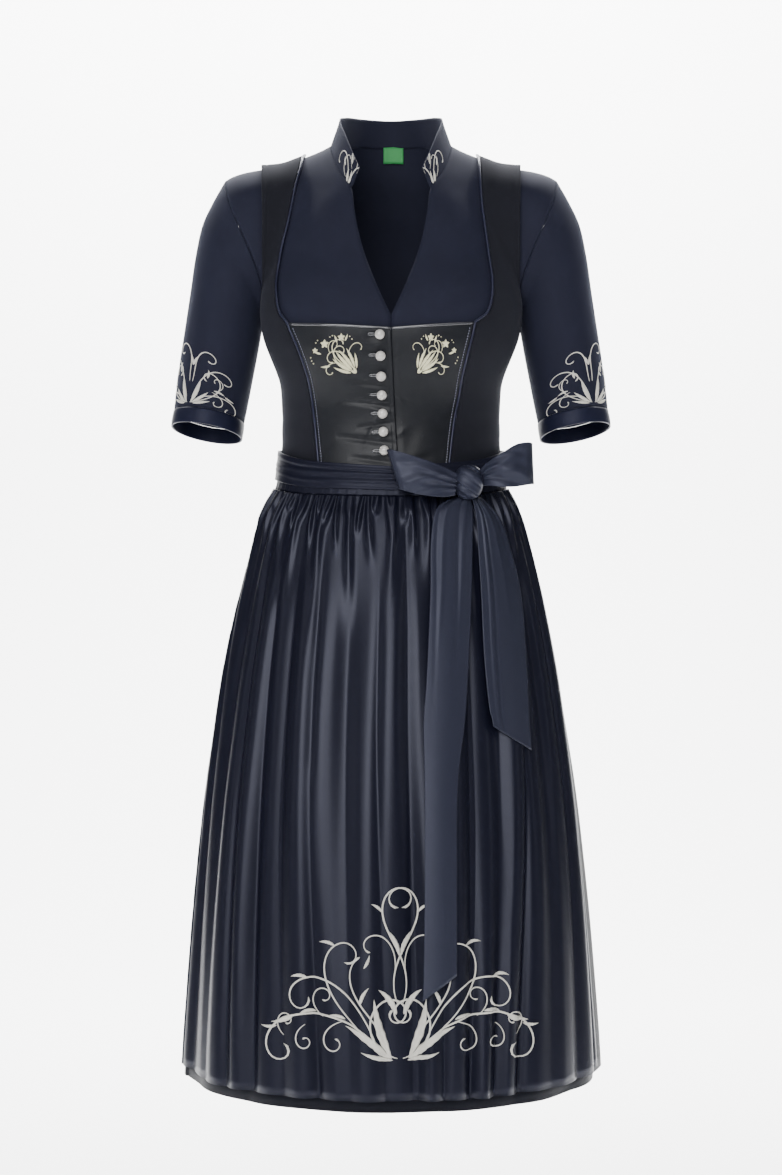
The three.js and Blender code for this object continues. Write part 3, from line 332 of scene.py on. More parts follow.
def figure(point):
    """Distance from the figure's surface, negative inside."""
    x, y, z = np.abs(point[..., 0]), point[..., 1], point[..., 2]
    p = np.stack([x, y, z], axis=-1)
    s = torso_section(z)
    ring = (x / s["half"]) ** s["square"] + (np.abs(y - s["middle"]) / s["depth"]) ** s["square"]
    d = (ring ** (1 / s["square"]) - 1) * np.sqrt(s["half"] * s["depth"])
    d = np.maximum(d, z - TORSO_TOP)
    aside = np.hypot(x, BUST["cleft"]) - BUST["x"]
    bust = np.sqrt((aside / BUST["wide"]) ** 2 + ((y - BUST["y"]) / BUST["deep"]) ** 2
                   + ((z - BUST["z"]) / BUST["high"]) ** 2)
    d = blended(d, (bust - 1) * BUST["wide"], BUST["blend"])
    for bone in BONES:
        d = blended(d, bone_distance(p, bone), bone["blend"])
    width = mix(ARM_BLEND["low"], ARM_BLEND["high"], smooth(z, ARM_BLEND["from"], ARM_BLEND["to"]))
    return blended(d, np.minimum(bone_distance(p, ARM[0]), bone_distance(p, ARM[1])), width)


def slope(p):
    e = 0.05
    steps = [figure(p + e * np.eye(3)[k]) - figure(p - e * np.eye(3)[k]) for k in range(3)]
    return np.stack(steps, axis=-1) / (2 * e)


def on_figure(point, turns=8):
    p = np.array(point, float)
    for _ in range(turns):
        g = slope(p)
        p = p - g * (figure(p) / np.sum(g * g, axis=-1))[..., None]
    return p


def leave(start, direction):
    """Where lines from inside the figure leave it."""
    start, direction = np.array(start, float), unit(np.array(direction, float))
    outside = np.zeros(start.shape[:-1])
    while True:
        inside_still = figure(start + direction * outside[..., None]) < 0
        if not inside_still.any():
            break
        outside = outside + 3 * inside_still
    inside = outside - 3
    for _ in range(20):
        middle = (inside + outside) / 2
        within = figure(start + direction * middle[..., None]) < 0
        inside, outside = np.where(within, middle, inside), np.where(within, outside, middle)
    return start + direction * outside[..., None]


def on_front(x, z):
    return leave([x, 0, min(z, -8)], [0, -1, max(z + 8, 0) / 60])


def on_back(x, z):
    return leave([x, 8, min(z, -8)], [0, 1, max(z + 8, 0) / 60])


def on_side(side, z):
    return on_figure([side * float(read(TORSO, "z", "half", z)), 0, z])


def between(one, other):
    """The line midway between two others, carried out to the figure from deep inside it."""
    middle = (one + other) / 2
    deep = np.stack([middle[:, 0] / 2, np.full(len(middle), 8.0), np.minimum(middle[:, 2], -30)], axis=1)
    return leave(deep, middle - deep)


def trimmed(edge, following, amount):
    """An edge moved in towards the next guide by an amount square to the edge."""
    last = len(edge) - 1
    k = np.arange(last + 1)
    run = unit(edge[np.minimum(k + 1, last)] - edge[np.maximum(k - 1, 0)])
    inward = unit(following - edge)
    sine = np.maximum(np.linalg.norm(np.cross(inward, run), axis=1), 0.5)
    return edge + inward * (np.broadcast_to(amount, (last + 1,)) / sine)[:, None]


def on_guides(guides, spans, first=SEAM, last=SEAM, top=SEAM, foot=0.0):
    """A grid of points on the figure between guides that run down the piece, as points and normals."""
    lines = [np.array(g) for g in guides]
    lines[0], lines[-1] = trimmed(guides[0], guides[1], first), trimmed(guides[-1], guides[-2], last)
    columns = []
    for k, count in enumerate(spans):
        for i in range(count * ACROSS_FINER):
            columns.append(mix(lines[k], lines[k + 1], i / (count * ACROSS_FINER)))
    points = np.stack([*columns, lines[-1]], axis=1)
    points[0] += unit(points[1] - points[0]) * top
    points[-1] += unit(points[-2] - points[-1]) * foot
    points = on_figure(points)
    return points, unit(slope(points))


def finer(grid, times):
    """A grid with more rows and columns between its own."""
    points, normals = grid
    for axis in (0, 1):
        count = points.shape[axis]
        at = np.linspace(0, count - 1, (count - 1) * times + 1)
        low = np.minimum(np.floor(at).astype(int), count - 2)
        part = (at - low)[:, None, None] if axis == 0 else (at - low)[None, :, None]
        points, normals = (mix(g.take(low, axis), g.take(low + 1, axis), part) for g in (points, normals))
    return points, unit(normals)


def grid_normals(points, side, round_it=False):
    """Normals of a free grid, from its neighbours, on the side that side gives."""
    if round_it:
        across = np.roll(points, -1, axis=1) - np.roll(points, 1, axis=1)
    else:
        across = np.gradient(points, axis=1)
    return unit(np.cross(across, np.gradient(points, axis=0))) * side


# Meshes.
def cloth_map(points, round_it):
    """Each grid point's place in the cloth, across and down it, in metres."""
    steps = np.linalg.norm(np.diff(points, axis=1, append=points[:, :1]), axis=2)
    across = np.concatenate([np.zeros((len(points), 1)), np.cumsum(steps, axis=1)], axis=1)
    if not round_it:
        across = across[:, :-1]
    middle = across[:, across.shape[1] // 2][:, None]
    down = np.cumsum(np.linalg.norm(np.diff(points, axis=0, prepend=points[:1]), axis=2).mean(axis=1))
    return np.stack([(across - middle) * MM, np.broadcast_to(-down[:, None] * MM, across.shape)], axis=-1)


def made(name, vertices, faces, uv, material, body="root"):
    """An object from vertices in millimetres, faces and each face corner's place in the cloth."""
    mesh = bpy.data.meshes.new(name)
    mesh.from_pydata((np.asarray(vertices) * MM).tolist(), [],
        np.asarray(faces).tolist() if isinstance(faces, np.ndarray) else faces)
    if uv is not None:
        layer = mesh.uv_layers.new(name="cloth")
        layer.data.foreach_set("uv", np.asarray(uv, np.float32).ravel())
    mesh.polygons.foreach_set("use_smooth", np.ones(len(mesh.polygons), bool))
    mesh.materials.append(material)
    mesh.update()
    piece = bpy.data.objects.new(name, mesh)
    bpy.context.scene.collection.objects.link(piece)
    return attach(piece, body)


def shell(name, points, normals, inner, outer, material, round_it=False):
    """A thin cloth wall between two distances from a grid, with its rims closed, and its outer grid."""
    rows, columns = points.shape[:2]
    layers = [points + normals * np.broadcast_to(d, (rows, columns))[..., None] for d in (inner, outer)]
    index = np.arange(2 * rows * columns).reshape(2, rows, columns)
    if round_it:
        index = np.concatenate([index, index[:, :, :1]], axis=2)
    uv = cloth_map(layers[1], round_it)
    faces, corners = [], []

    def strip(one, other, one_uv, other_uv):
        """Faces between two lines of vertices, or two grids that lie a step apart."""
        steps = [(one, one_uv, slice(None, -1)), (one, one_uv, slice(1, None)),
            (other, other_uv, slice(1, None)),
                 (other, other_uv, slice(None, -1))]
        faces.append(np.stack([line[..., cut] for line, _, cut in steps], axis=-1).reshape(-1, 4))
        corners.append(np.stack([at[..., cut, :] for _, at, cut in steps], axis=-2).reshape(-1, 4, 2))

    strip(index[1, :-1], index[1, 1:], uv[:-1], uv[1:])
    strip(index[0, 1:], index[0, :-1], uv[1:], uv[:-1])
    strip(index[0, 0], index[1, 0], uv[0], uv[0])
    strip(index[1, -1], index[0, -1], uv[-1], uv[-1])
    if not round_it:
        strip(index[1, :, 0], index[0, :, 0], uv[:, 0], uv[:, 0])
        strip(index[0, :, -1], index[1, :, -1], uv[:, -1], uv[:, -1])
    vertices = np.concatenate(layers).reshape(-1, 3)
    faces, corners = np.concatenate(faces), np.concatenate(corners)
    a, b, c, d = (vertices[faces[:, k]] for k in range(4))
    if np.sum(a * np.cross(b, c)) + np.sum(a * np.cross(c, d)) < 0:
        faces, corners = faces[:, ::-1], corners[:, ::-1]
    return made(name, vertices, faces, corners, material), layers[1]


def lofted(rings):
    """Vertices, faces and cloth places of a closed body through rings of equally many points."""
    count, last = rings.shape[1], len(rings) - 1
    faces = [[j * count + i, j * count + (i + 1) % count, (j + 1) * count + (i + 1) % count,
        (j + 1) * count + i]
             for j in range(last) for i in range(count)]
    faces += [list(range(count))[::-1], [last * count + i for i in range(count)]]
    length = along(rings.mean(axis=1)) * MM
    round_it = along(np.vstack([rings[last // 2], rings[last // 2][:1]]))[:-1] * MM
    uv = [(length[corner // count], round_it[corner % count]) for face in faces for corner in face]
    return rings.reshape(-1, 3), faces, uv


def tube(line, normals, radii, count=8):
    """A closed round cord along a line, wide and thick by its radii."""
    across = unit(np.cross(unit(np.gradient(line, axis=0)), normals))[:, None]
    turn = (np.arange(count) / count * 2 * math.pi)[None, :, None]
    wide, thick = (np.broadcast_to(r, (len(line),))[:, None, None] for r in radii)
    return lofted(line[:, None] + across * np.cos(turn) * wide + normals[:, None] * np.sin(turn) * thick)


def gathered_mesh(parts):
    """Several vertex and face sets as one."""
    vertices, faces, uv, start = [], [], [], 0
    for v, f, u in parts:
        vertices.append(v)
        faces += [[c + start for c in face] for face in f]
        uv += list(u)
        start += len(v)
    return np.concatenate(vertices), faces, uv


def creased(points, creases):
    """How far soft troughs and ridges push a grid. Each has two ends, a width and a height."""
    push = np.zeros(points.shape[:2])
    for x0, y0, z0, x1, y1, z1, wide, high in creases:
        start = np.array([x0, y0, z0], float)
        whole = np.array([x1 - x0, y1 - y0, z1 - z0], float)
        away = points - start
        t = np.clip(away @ whole / (whole @ whole), 0, 1)
        away = np.linalg.norm(away - t[..., None] * whole, axis=-1)
        push += high * bump(away, wide) * (0.25 + 0.75 * np.sin(np.pi * np.clip(t, 0.02, 0.98)))
    return push


def creased_upright(points, creases):
    """The same for creases on a front or a back, which are placed by their x and z alone."""
    rows = [(x0, 0, z0, x1, 0, z1, wide, high) for x0, z0, x1, z1, wide, high in creases]
    return creased(points * [1, 0, 1], rows)


# Materials.
def colour(code):
    """A screen colour as the linear values that a shader takes."""
    parts = [int(code[k:k + 2], 16) / 255 for k in (0, 2, 4)]
    return tuple(c / 12.92 if c <= 0.04045 else ((c + 0.055) / 1.055) ** 2.4 for c in parts) + (1.0,)


class Finish:
    """A node material that is built up step by step."""

    def __init__(self, name, tone, roughness, **sockets):
        self.material = bpy.data.materials.new(name)
        self.material.use_nodes = True
        self.nodes, self.links = self.material.node_tree.nodes, self.material.node_tree.links
        self.shader = self.nodes["Principled BSDF"]
        self.tone = colour(tone)
        self.shader.inputs["Base Color"].default_value = self.tone
        self.shader.inputs["Roughness"].default_value = roughness
        for key, value in sockets.items():
            self.shader.inputs[key.replace("_", " ")].default_value = value
        self.height = None

    def node(self, kind, **values):
        made_node = self.nodes.new(kind)
        for key, value in values.items():
            if key in made_node.inputs:
                made_node.inputs[key].default_value = value
            else:
                setattr(made_node, key, value)
        return made_node

    def place(self, scale, of="cloth"):
        """Coordinates in the cloth, or in the object, in units of 1 / scale metres."""
        mapping = self.node("ShaderNodeMapping")
        mapping.inputs["Scale"].default_value = scale
        if of == "cloth":
            source = self.node("ShaderNodeUVMap", uv_map="cloth").outputs["UV"]
        else:
            source = self.node("ShaderNodeTexCoord").outputs["Object"]
        self.links.new(source, mapping.inputs["Vector"])
        return mapping.outputs["Vector"]

    def noise(self, scale, detail=3.0, of="object", rough=0.5):
        noise = self.node("ShaderNodeTexNoise", Scale=1.0, Detail=detail, Roughness=rough)
        self.links.new(self.place(scale, of), noise.inputs["Vector"])
        return noise.outputs["Fac"]

    def bands(self, pitch, across=True, of="cloth", profile="SIN", distortion=0.0):
        """Lines that repeat at a pitch in metres, across the cloth or down it."""
        wave = self.node("ShaderNodeTexWave", Scale=1.0, Distortion=distortion)
        wave.bands_direction = "X" if across else "Y"
        wave.wave_profile = profile
        turns = 2 * math.pi / (20 * pitch)
        self.links.new(self.place((turns, turns, turns), of), wave.inputs["Vector"])
        return wave.outputs["Fac"]

    def voronoi(self, scale, feature="F1"):
        cells = self.node("ShaderNodeTexVoronoi", Scale=1.0)
        cells.feature = feature
        self.links.new(self.place((scale, scale, scale), "object"), cells.inputs["Vector"])
        return cells.outputs["Distance"]

    def scaled(self, value, low, high):
        remap = self.node("ShaderNodeMapRange")
        remap.inputs["To Min"].default_value, remap.inputs["To Max"].default_value = low, high
        self.links.new(value, remap.inputs["Value"])
        return remap.outputs["Result"]

    def rough(self, value, low, high):
        self.links.new(self.scaled(value, low, high), self.shader.inputs["Roughness"])
        return self

    def shade(self, value, darker, lighter):
        """Varies the base colour by a value, between two factors."""
        source = self.shader.inputs["Base Color"]
        blend = self.node("ShaderNodeMix", data_type="RGBA", blend_type="MULTIPLY")
        blend.inputs[0].default_value = 1.0
        if source.is_linked:
            self.links.new(source.links[0].from_socket, blend.inputs[6])
        else:
            blend.inputs[6].default_value = self.tone
        grey = self.node("ShaderNodeCombineColor")
        factor = self.scaled(value, darker, lighter)
        for key in ("Red", "Green", "Blue"):
            self.links.new(factor, grey.inputs[key])
        self.links.new(grey.outputs["Color"], blend.inputs[7])
        self.links.new(blend.outputs[2], source)
        return self

    def relief(self, value, depth, strength=1.0):
        """Bumps by a value, at a depth in millimetres, over what bumps there are."""
        relief = self.node("ShaderNodeBump", Strength=strength, Distance=depth * MM)
        self.links.new(value, relief.inputs["Height"])
        if self.height is not None:
            self.links.new(self.height, relief.inputs["Normal"])
        self.height = relief.outputs["Normal"]
        self.links.new(self.height, self.shader.inputs["Normal"])
        return self


def jersey_finish():
    f = Finish("jersey", "131526", 0.82, Sheen_Weight=0.14, Sheen_Roughness=0.5, Specular_IOR_Level=0.25)
    f.shader.inputs["Sheen Tint"].default_value = colour("6F7694")
    f.shade(f.noise((45, 45, 25)), 0.86, 1.12)
    f.relief(f.bands(0.0009), 0.05, 0.5).relief(f.bands(0.0012, across=False), 0.04, 0.4)
    return f.relief(f.noise((900, 900, 900), 2.0), 0.04, 0.4).material


def wool_finish():
    f = Finish("bodice_wool", "0E0F17", 0.92, Sheen_Weight=0.3, Sheen_Roughness=0.6, Specular_IOR_Level=0.25)
    f.shader.inputs["Sheen Tint"].default_value = colour("4A4C5A")
    f.shade(f.noise((1400, 1400, 1400), 2.0), 0.7, 1.35)
    f.shade(f.noise((30, 30, 30)), 0.9, 1.1)
    f.relief(f.bands(0.0008), 0.05, 0.45)
    f.relief(f.bands(0.0008, across=False), 0.05, 0.45)
    return f.relief(f.noise((1100, 1100, 700), 3.0), 0.08, 0.5).material


def satin_finish(name, tone, low, high, bend=1.36, slub=0.25):
    f = Finish(name, tone, 0.3, IOR=bend, Specular_IOR_Level=0.5)
    f.shader.inputs["Specular Tint"].default_value = colour("D6D9EE")
    f.rough(f.noise((60, 900, 60), 3.0, "cloth"), low, high)
    f.shade(f.noise((500, 2600, 1), 2.0, "cloth"), 1 - slub, 1 + slub)
    f.relief(f.bands(0.0005, across=False), 0.02, 0.35)
    return f.relief(f.noise((300, 2200, 1), 2.0, "cloth"), 0.03, 0.3).material


def leather_finish(name="leather", tone="101218", low=0.36, high=0.48, level=0.24):
    f = Finish(name, tone, 0.38, Specular_IOR_Level=level)
    f.rough(f.noise((120, 120, 120), 4.0), low, high)
    f.shade(f.noise((60, 60, 60), 4.0), 0.88, 1.14)
    f.relief(f.voronoi(900), 0.09, 0.45)
    return f.relief(f.noise((700, 700, 700), 4.0, rough=0.65), 0.1, 0.4).material


def pearl_finish():
    f = Finish("pearl", "B9B6B2", 0.18, Specular_IOR_Level=0.8, Coat_Weight=0.6, Coat_Roughness=0.08)
    f.shade(f.noise((260, 260, 260)), 0.88, 1.04)
    f.relief(f.noise((500, 500, 500), 3.0), 0.05, 0.2)
    return f.material


def thread_finish(name, tone):
    f = Finish(name, tone, 0.42, Specular_IOR_Level=0.7, Sheen_Weight=0.2, Sheen_Roughness=0.4)
    # Painted shade and highlight: the base colour follows the same bands as the thread relief. It is darker
    # in the grooves between strands and lighter on their crests.
    f.shade(f.bands(0.00055), 0.72, 1.1)
    f.shade(f.noise((300, 300, 300)), 0.86, 1.06)
    return f.relief(f.bands(0.00055), 0.12, 0.7).material


def label_finish():
    f = Finish("label", "2E8A48", 0.6, Specular_IOR_Level=0.4)
    f.shade(f.noise((1500, 1500, 1500), 2.0), 0.82, 1.15)
    f.relief(f.bands(0.0005), 0.04, 0.5)
    return f.relief(f.bands(0.0006, across=False), 0.04, 0.5).material


# Painted shade: a dark, matte filler for the slit of each buttonhole. It stands in for the shade in the gap
# between the lips.
def slit_shade_finish():
    f = Finish("buttonhole_slit_painted_shade", "0E0F15", 0.6)
    return f.relief(f.noise((1500, 1500, 1500), 2.0), 0.05, 0.4).material


JERSEY = jersey_finish()
WOOL = wool_finish()
CUFF_SATIN = satin_finish("cuff_satin", "151728", 0.42, 0.54, 1.28)
APRON_SATIN = satin_finish("apron_satin", "0E0F1B", 0.3, 0.42)
SASH_SATIN = satin_finish("sash_satin", "12131F", 0.36, 0.5, 1.3, 0.3)
RIBBON_SATIN = satin_finish("ribbon_satin", "20222F", 0.38, 0.5, 1.42)
SKIRT_SATIN = satin_finish("skirt_satin", "0A0B11", 0.44, 0.58, 1.24)
PIPING_SATIN = satin_finish("piping_satin", "181A2C", 0.26, 0.38, 1.5)
LEATHER = leather_finish()
# The binding leather is the front's leather with a much lighter tone. The tone is a painted highlight for the
# shine of the rolled top edge and of the buttonhole lips, on top of its real gloss.
BINDING_LEATHER_PAINTED_HIGHLIGHT = leather_finish("binding_leather_painted_highlight", "34353A", 0.12, 0.22, 0.9)
PEARL = pearl_finish()
SILVER_THREAD = thread_finish("silver_thread", "DAD7CD")
IVORY_THREAD = thread_finish("ivory_thread", "EAE5BE")
NAVY_THREAD = thread_finish("navy_thread", "80839A")
LABEL_CLOTH = label_finish()
SLIT_PAINTED_SHADE = slit_shade_finish()

shells = {}
collar_grid = []


def keep(name, made_shell, slot, *nodes):
    piece, outer = made_shell
    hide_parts(*nodes)
    shells[name] = outer
    return piece


# The blouse.
def sleeve_section(row, side, count):
    s = {key: values[row] for key, values in SLEEVE.items()}
    outer = np.array([side * s["outer_x"], -s["forward"], s["outer_z"]])
    inner = np.array([side * s["inner_x"], -s["forward"], s["inner_z"]])
    turn = np.arange(count)[:, None] / count * 2 * math.pi
    behind = np.sin(turn) * np.array([[0, s["depth"], -s["drop"]]])
    return (outer + inner) / 2 + (outer - inner) / 2 * np.cos(turn) + behind


ARMHOLE_POINTS = 20 * ACROSS_FINER
HALF_HOLE = ARMHOLE_POINTS // 2


def armhole(side):
    p = sleeve_section(0, side, ARMHOLE_POINTS)
    low = smooth(-p[:, 2], 60, 130) * (1 - smooth(-p[:, 2], 135, 165))
    p[:, 0] -= side * ARMHOLE_SCOOP * low * smooth(-p[:, 1], 10, 40)
    return on_figure(p)


def armhole_half(side, before):
    k = np.arange(HALF_HOLE + 1)
    return armhole(side)[(ARMHOLE_POINTS - k) % ARMHOLE_POINTS if before else k]


def collar_seam(row, side):
    x, y, z = COLLAR_SEAM[row]
    return on_figure([side * x, y, z])


BLOUSE_SIDE_ROWS = 4 * DOWN_FINER
BLOUSE_ROWS = HALF_HOLE + BLOUSE_SIDE_ROWS

# Soft creases of the blouse, from one place to another, with a width and a height.
BLOUSE_CREASES = (
    (128, -60, 66, -100, 9, -1.2), (120, -95, 60, -130, 9, -1.4), (104, -150, 40, -176, 9, -1.2),
    (58, -50, 40, -90, 7, -0.8), (84, -30, 60, -70, 8, 0.7), (96, -118, 52, -166, 8, 0.7),
)
BLOUSE_BACK_CREASES = (
    (-130, -90, -60, -110, 10, -0.7), (126, -70, 66, -96, 11, -0.8), (-40, -40, 38, -44, 8, -0.5),
    (-90, -30, -50, -60, 9, -0.4),
)
FACING_EDGE = 3.0


def blouse():
    def outer_edge(side, before):
        hole = armhole_half(side, before)
        return joined(hole,
            spaced([hole[-1], on_side(side, -200), on_side(side, BLOUSE_HEM)], BLOUSE_SIDE_ROWS))

    for name, side in (("right", -1), ("left", 1)):
        neck = [collar_seam(row, side) for row in range(NECK_SIDE, -1, -1)]
        neckline = neck + [on_front(side * x, z) for x, z in NECKLINE]
        low_rows = 3 * DOWN_FINER
        edge = joined(spaced(neckline, BLOUSE_ROWS - low_rows, 1.15),
                      spaced([neckline[-1], on_front(0, BLOUSE_HEM)], low_rows))
        outer = outer_edge(side, True)
        points, normals = on_guides([edge, between(edge, outer), outer], [4, 5], first=2 * SEAM)
        push = creased_upright(points * [side, 1, 1], BLOUSE_CREASES)
        from_edge = np.linalg.norm(points - points[:, :1], axis=2)
        push += 0.35 * bump(from_edge - 1.2, 1.4) - 0.3 * bump(from_edge - FACING_EDGE - 9, 1.2)
        node = f"blouse_front_{name}"
        piece = keep(node,
            shell(f"blouse_front_{name}_cloth", points, normals, BLOUSE[0] + push, BLOUSE[1] + push,
                                 JERSEY), "jersey", node)

    def down(row, side, places):
        return spaced([collar_seam(row, side), *(on_back(side * x, z) for x, z in places)], BLOUSE_ROWS, 1.3)

    def back_guides(side):
        outer = outer_edge(side, False)
        neck_side = down(NECK_SIDE, side, [(64, -20), (60, -90), (56, -160), (52, BLOUSE_HEM)])
        return [outer, between(outer, neck_side), neck_side,
                down(NECK_SIDE + 1, side, [(46, -30), (38, -100), (34, BLOUSE_HEM)]),
                down(NECK_SIDE + 2, side, [(24, -40), (18, BLOUSE_HEM)])]

    spine = down(len(COLLAR_SEAM) - 1, 1, [(0, -40), (0, -140), (0, BLOUSE_HEM)])
    guides = [*back_guides(-1), spine, *back_guides(1)[::-1]]
    points, normals = on_guides(guides, [5, 4, 2, 2, 2, 2, 2, 2, 4, 5])
    push = creased_upright(points, BLOUSE_BACK_CREASES)
    piece = keep("blouse_back",
        shell("blouse_back_cloth", points, normals, BLOUSE[0] + push, BLOUSE[1] + push, JERSEY),
                 "jersey", "blouse_back")


def collar():
    def half(side):
        seam = [collar_seam(row, side) for row in range(len(COLLAR_SEAM))]
        return seam, [np.array([side * x, y, z], float) for x, y, z in COLLAR_EDGE]

    across = 28 * ACROSS_FINER
    right, left = half(-1), half(1)
    seam, edge = (spaced(right[k] + left[k][::-1][1:], across) for k in (0, 1))
    heights = np.linspace(-0.04, 1, 13)[:, None, None]
    points = seam + (edge - seam) * heights
    normals = grid_normals(points, -1)
    roll = 0.5 * bump((1 - heights[..., 0]) * 30 - 1, 1.6)
    piece = keep("collar",
        shell("collar_cloth", points, normals, -COLLAR_CLOTH / 2, COLLAR_CLOTH / 2 + roll, JERSEY),
                 "jersey", "collar")
    collar_grid.extend((shells["collar"], normals))


def label():
    width, height, x, top = (LABEL_SIZE[key] for key in ("width", "height", "x", "top"))
    lines = [np.array([on_back(x + part * width, top - down * height) for down in np.linspace(0, 1, 7)])
             for part in (-0.5, 0, 0.5)]
    points, normals = on_guides(lines, [1, 1])
    border = np.ones(points.shape[:2]) * 0.25
    border[1:-1, 1:-1] = 0
    piece = keep("label",
        shell("neck_label_cloth", points, normals, LABEL[0] - border, LABEL[1], LABEL_CLOTH),
                 "label_cloth", "neck_label")


def through(rings, times):
    """More rings on smooth curves through the corresponding points of rings."""
    columns = [curve(rings[:, i], times) for i in range(rings.shape[1])]
    return np.stack(columns, axis=1)


SLEEVE_FINER = 7
SLEEVE_CREASES = (
    (160, -20, -170, 214, -44, -120, 8, -1.4), (164, -26, -196, 222, -48, -160, 9, -1.2),
    (170, -24, -236, 216, -52, -214, 9, -0.9), (160, 22, -176, 214, 44, -126, 9, -1.5),
    (166, 24, -216, 226, 38, -170, 10, -1.1), (196, 44, -60, 214, 46, -112, 8, -0.9),
    (192, -48, -50, 210, -50, -110, 8, -0.9), (232, -22, -120, 240, -20, -200, 9, -0.7),
    (178, -30, -270, 230, -56, -262, 9, -0.8), (178, 20, -272, 232, 26, -258, 9, -0.8),
)
sleeve_grids = {}


def sleeves():
    for name, side in (("right", -1), ("left", 1)):
        rings = np.stack([armhole(side),
            *(sleeve_section(row, side, ARMHOLE_POINTS) for row in range(1, CUFF_END))])
        rings[0] += unit(rings[1] - rings[0]) * 2 * SEAM
        points = through(rings, SLEEVE_FINER)
        normals = grid_normals(points, -side, True)
        normals[0] = unit(slope(points[0]))
        normals[1] = unit(normals[0] + normals[2])
        push = creased(points * [side, 1, 1], SLEEVE_CREASES)
        sleeve_grids[name] = (points, normals)
        fade = smooth(np.arange(len(points)), 0, 3)[:, None]
        piece = keep(f"sleeve_{name}", shell(f"sleeve_{name}_cloth", points, normals, BLOUSE[0] + push * fade,
                                             BLOUSE[1] + push * fade, JERSEY, True), "jersey",
                                             f"sleeve_{name}")

        top = sleeve_section(SLEEVE_END, side, ARMHOLE_POINTS)
        end = sleeve_section(CUFF_END, side, ARMHOLE_POINTS)
        t = np.linspace(0.02, 1, 9)[:, None, None]
        points = top + (end - top) * t
        normals = grid_normals(points, -side, True)
        puff = 0.35 * np.sin(math.pi * t[..., 0]) - 0.5 * bump(t[..., 0] * 18 - 1.6, 0.9)
        turn = np.arange(ARMHOLE_POINTS)[None, :] / ARMHOLE_POINTS * 2 * math.pi
        puff = puff + 0.16 * np.sin(9 * turn + 3 * t[..., 0]) * np.sin(math.pi * t[..., 0])
        piece = keep(f"cuff_{name}",
            shell(f"cuff_{name}_cloth", points, normals, 0, CUFF_CLOTH + puff, CUFF_SATIN,
                                           True), "cuff_satin", f"cuff_{name}")


# The bodice.
STRAP_ROWS, CORNER_ROWS, SEAM_ROWS, HOLE_ROWS = (n * DOWN_FINER for n in (8, 3, 8, 10))
SIDE_ROWS = STRAP_ROWS + CORNER_ROWS + SEAM_ROWS
BACK_STRAP_ROWS, BACK_SEAM_ROWS = 8 * DOWN_FINER, 11 * DOWN_FINER
SHOULDER_EASE = 1.35


def turned_waist(turn):
    return read(ROUND, "turn", "waist", away_from_front(turn))


def away_from_front(turn):
    turn = np.asarray(turn, float)
    return np.abs(np.where(turn > 180, 360 - turn, turn))


def waist_at(x, before):
    section = torso_section(-376)
    turn = math.asin((abs(x) / float(section["half"])) ** (float(section["square"]) / 2)) / DEGREE
    return float(turned_waist(turn if before else 180 - turn))


def front_point(place):
    x, z = place
    return on_front(x, waist_at(x, True) if z is None else z)


def back_point(x, z):
    return on_back(x, waist_at(x, False) if z is None else z)


def strap_top(side):
    return leave([side * STRAP_TOP[0], STRAP_TOP[1], -40], [0, 0, 1])


def side_seam(side):
    places = [UNDERARM, -200, -235, -270, -302, -340, float(turned_waist(90))]
    return spaced([on_side(side, z) for z in places], SIDE_ROWS - HOLE_ROWS)


def bodice_armhole(rows, side, spans):
    hole = [on_figure([side * x, y, z]) for x, y, z in rows] + [on_side(side, UNDERARM)]
    return spaced(hole, spans, SHOULDER_EASE)


def side_wall(name, grid, push, slot_name):
    points, normals = grid
    rows, columns = points.shape[:2]
    i, j = np.arange(columns)[None, :], np.arange(rows)[:, None]
    lift = ARMHOLE_LIFT * smooth(i, columns - 1 - 5 * ACROSS_FINER, columns - 1)
    lift = lift * (1 - smooth(j, HOLE_ROWS, HOLE_ROWS + 3 * DOWN_FINER))
    from_hole = np.linalg.norm(points - points[:, -1:], axis=2)
    above = 1 - smooth(j, HOLE_ROWS - 2, HOLE_ROWS + 2)
    edge = (0.4 * bump(from_hole - 1.5, 1.6) - 0.35 * bump(from_hole - 6.5, 1.1)) * above
    thick = push + lift + edge
    return keep(name,
        shell(f"{name}_cloth", points, normals, BODICE[0] + lift + np.minimum(push, 0), BODICE[1] + thick,
                            WOOL), slot_name, name)


BODICE_CREASES = (
    (140, -180, 106, -200, 8, -0.8), (136, -215, 100, -232, 9, -0.9), (128, -290, 92, -300, 7, -1.0),
    (126, -318, 92, -330, 6, -0.9), (130, -345, 96, -352, 6, -0.9), (122, -120, 128, -165, 6, -0.5),
)
BODICE_BACK_CREASES = (
    (126, -290, 60, -300, 7, -0.9), (126, -316, 50, -330, 6, -1.0), (130, -342, 54, -350, 6, -0.9),
    (140, -170, 96, -180, 9, -0.7), (136, -205, 90, -225, 9, -0.7),
)
LEATHER_CREASES = (
    (-6, -203, -30, -208, 3, -0.8), (-8, -213, -24, -216, 2, 0.8), (-5, -226, -34, -221, 2.4, -1.1),
    (-7, -236, -56, -240, 3.4, -1.3), (-3, -250, -20, -246, 2, 1.3), (-2, -261, -46, -255, 2.6, -1.7),
    (-1, -268, -24, -275, 2, 1.4), (1, -284, -52, -276, 2.6, -1.9), (0, -291, -20, -287, 1.8, 1.6),
    (2, -302, -36, -308, 2.4, -2.1), (2, -313, -28, -317, 2, 1.5), (3, -327, -58, -318, 3, -1.9),
    (4, -335, -18, -340, 1.8, 1.7), (4, -349, -44, -342, 2.6, -1.6), (-16, -296, -30, -330, 2.6, 0.9),
    (-60, -196, -100, -206, 7, -0.5), (-70, -330, -84, -345, 5, -0.8), (-34, -262, -74, -286, 6, -0.7),
)
LEATHER_LEFT_CREASES = (
    (14, -345, 30, -300, 8, -0.6), (60, -330, 68, -350, 5, 0.9), (40, -200, 84, -204, 5, -0.6),
    (20, -348, 50, -340, 5, -0.8), (2, -230, 12, -224, 3, 0.7), (4, -272, 13, -280, 3, 0.7),
    (6, -318, 16, -310, 3, 0.8),
)


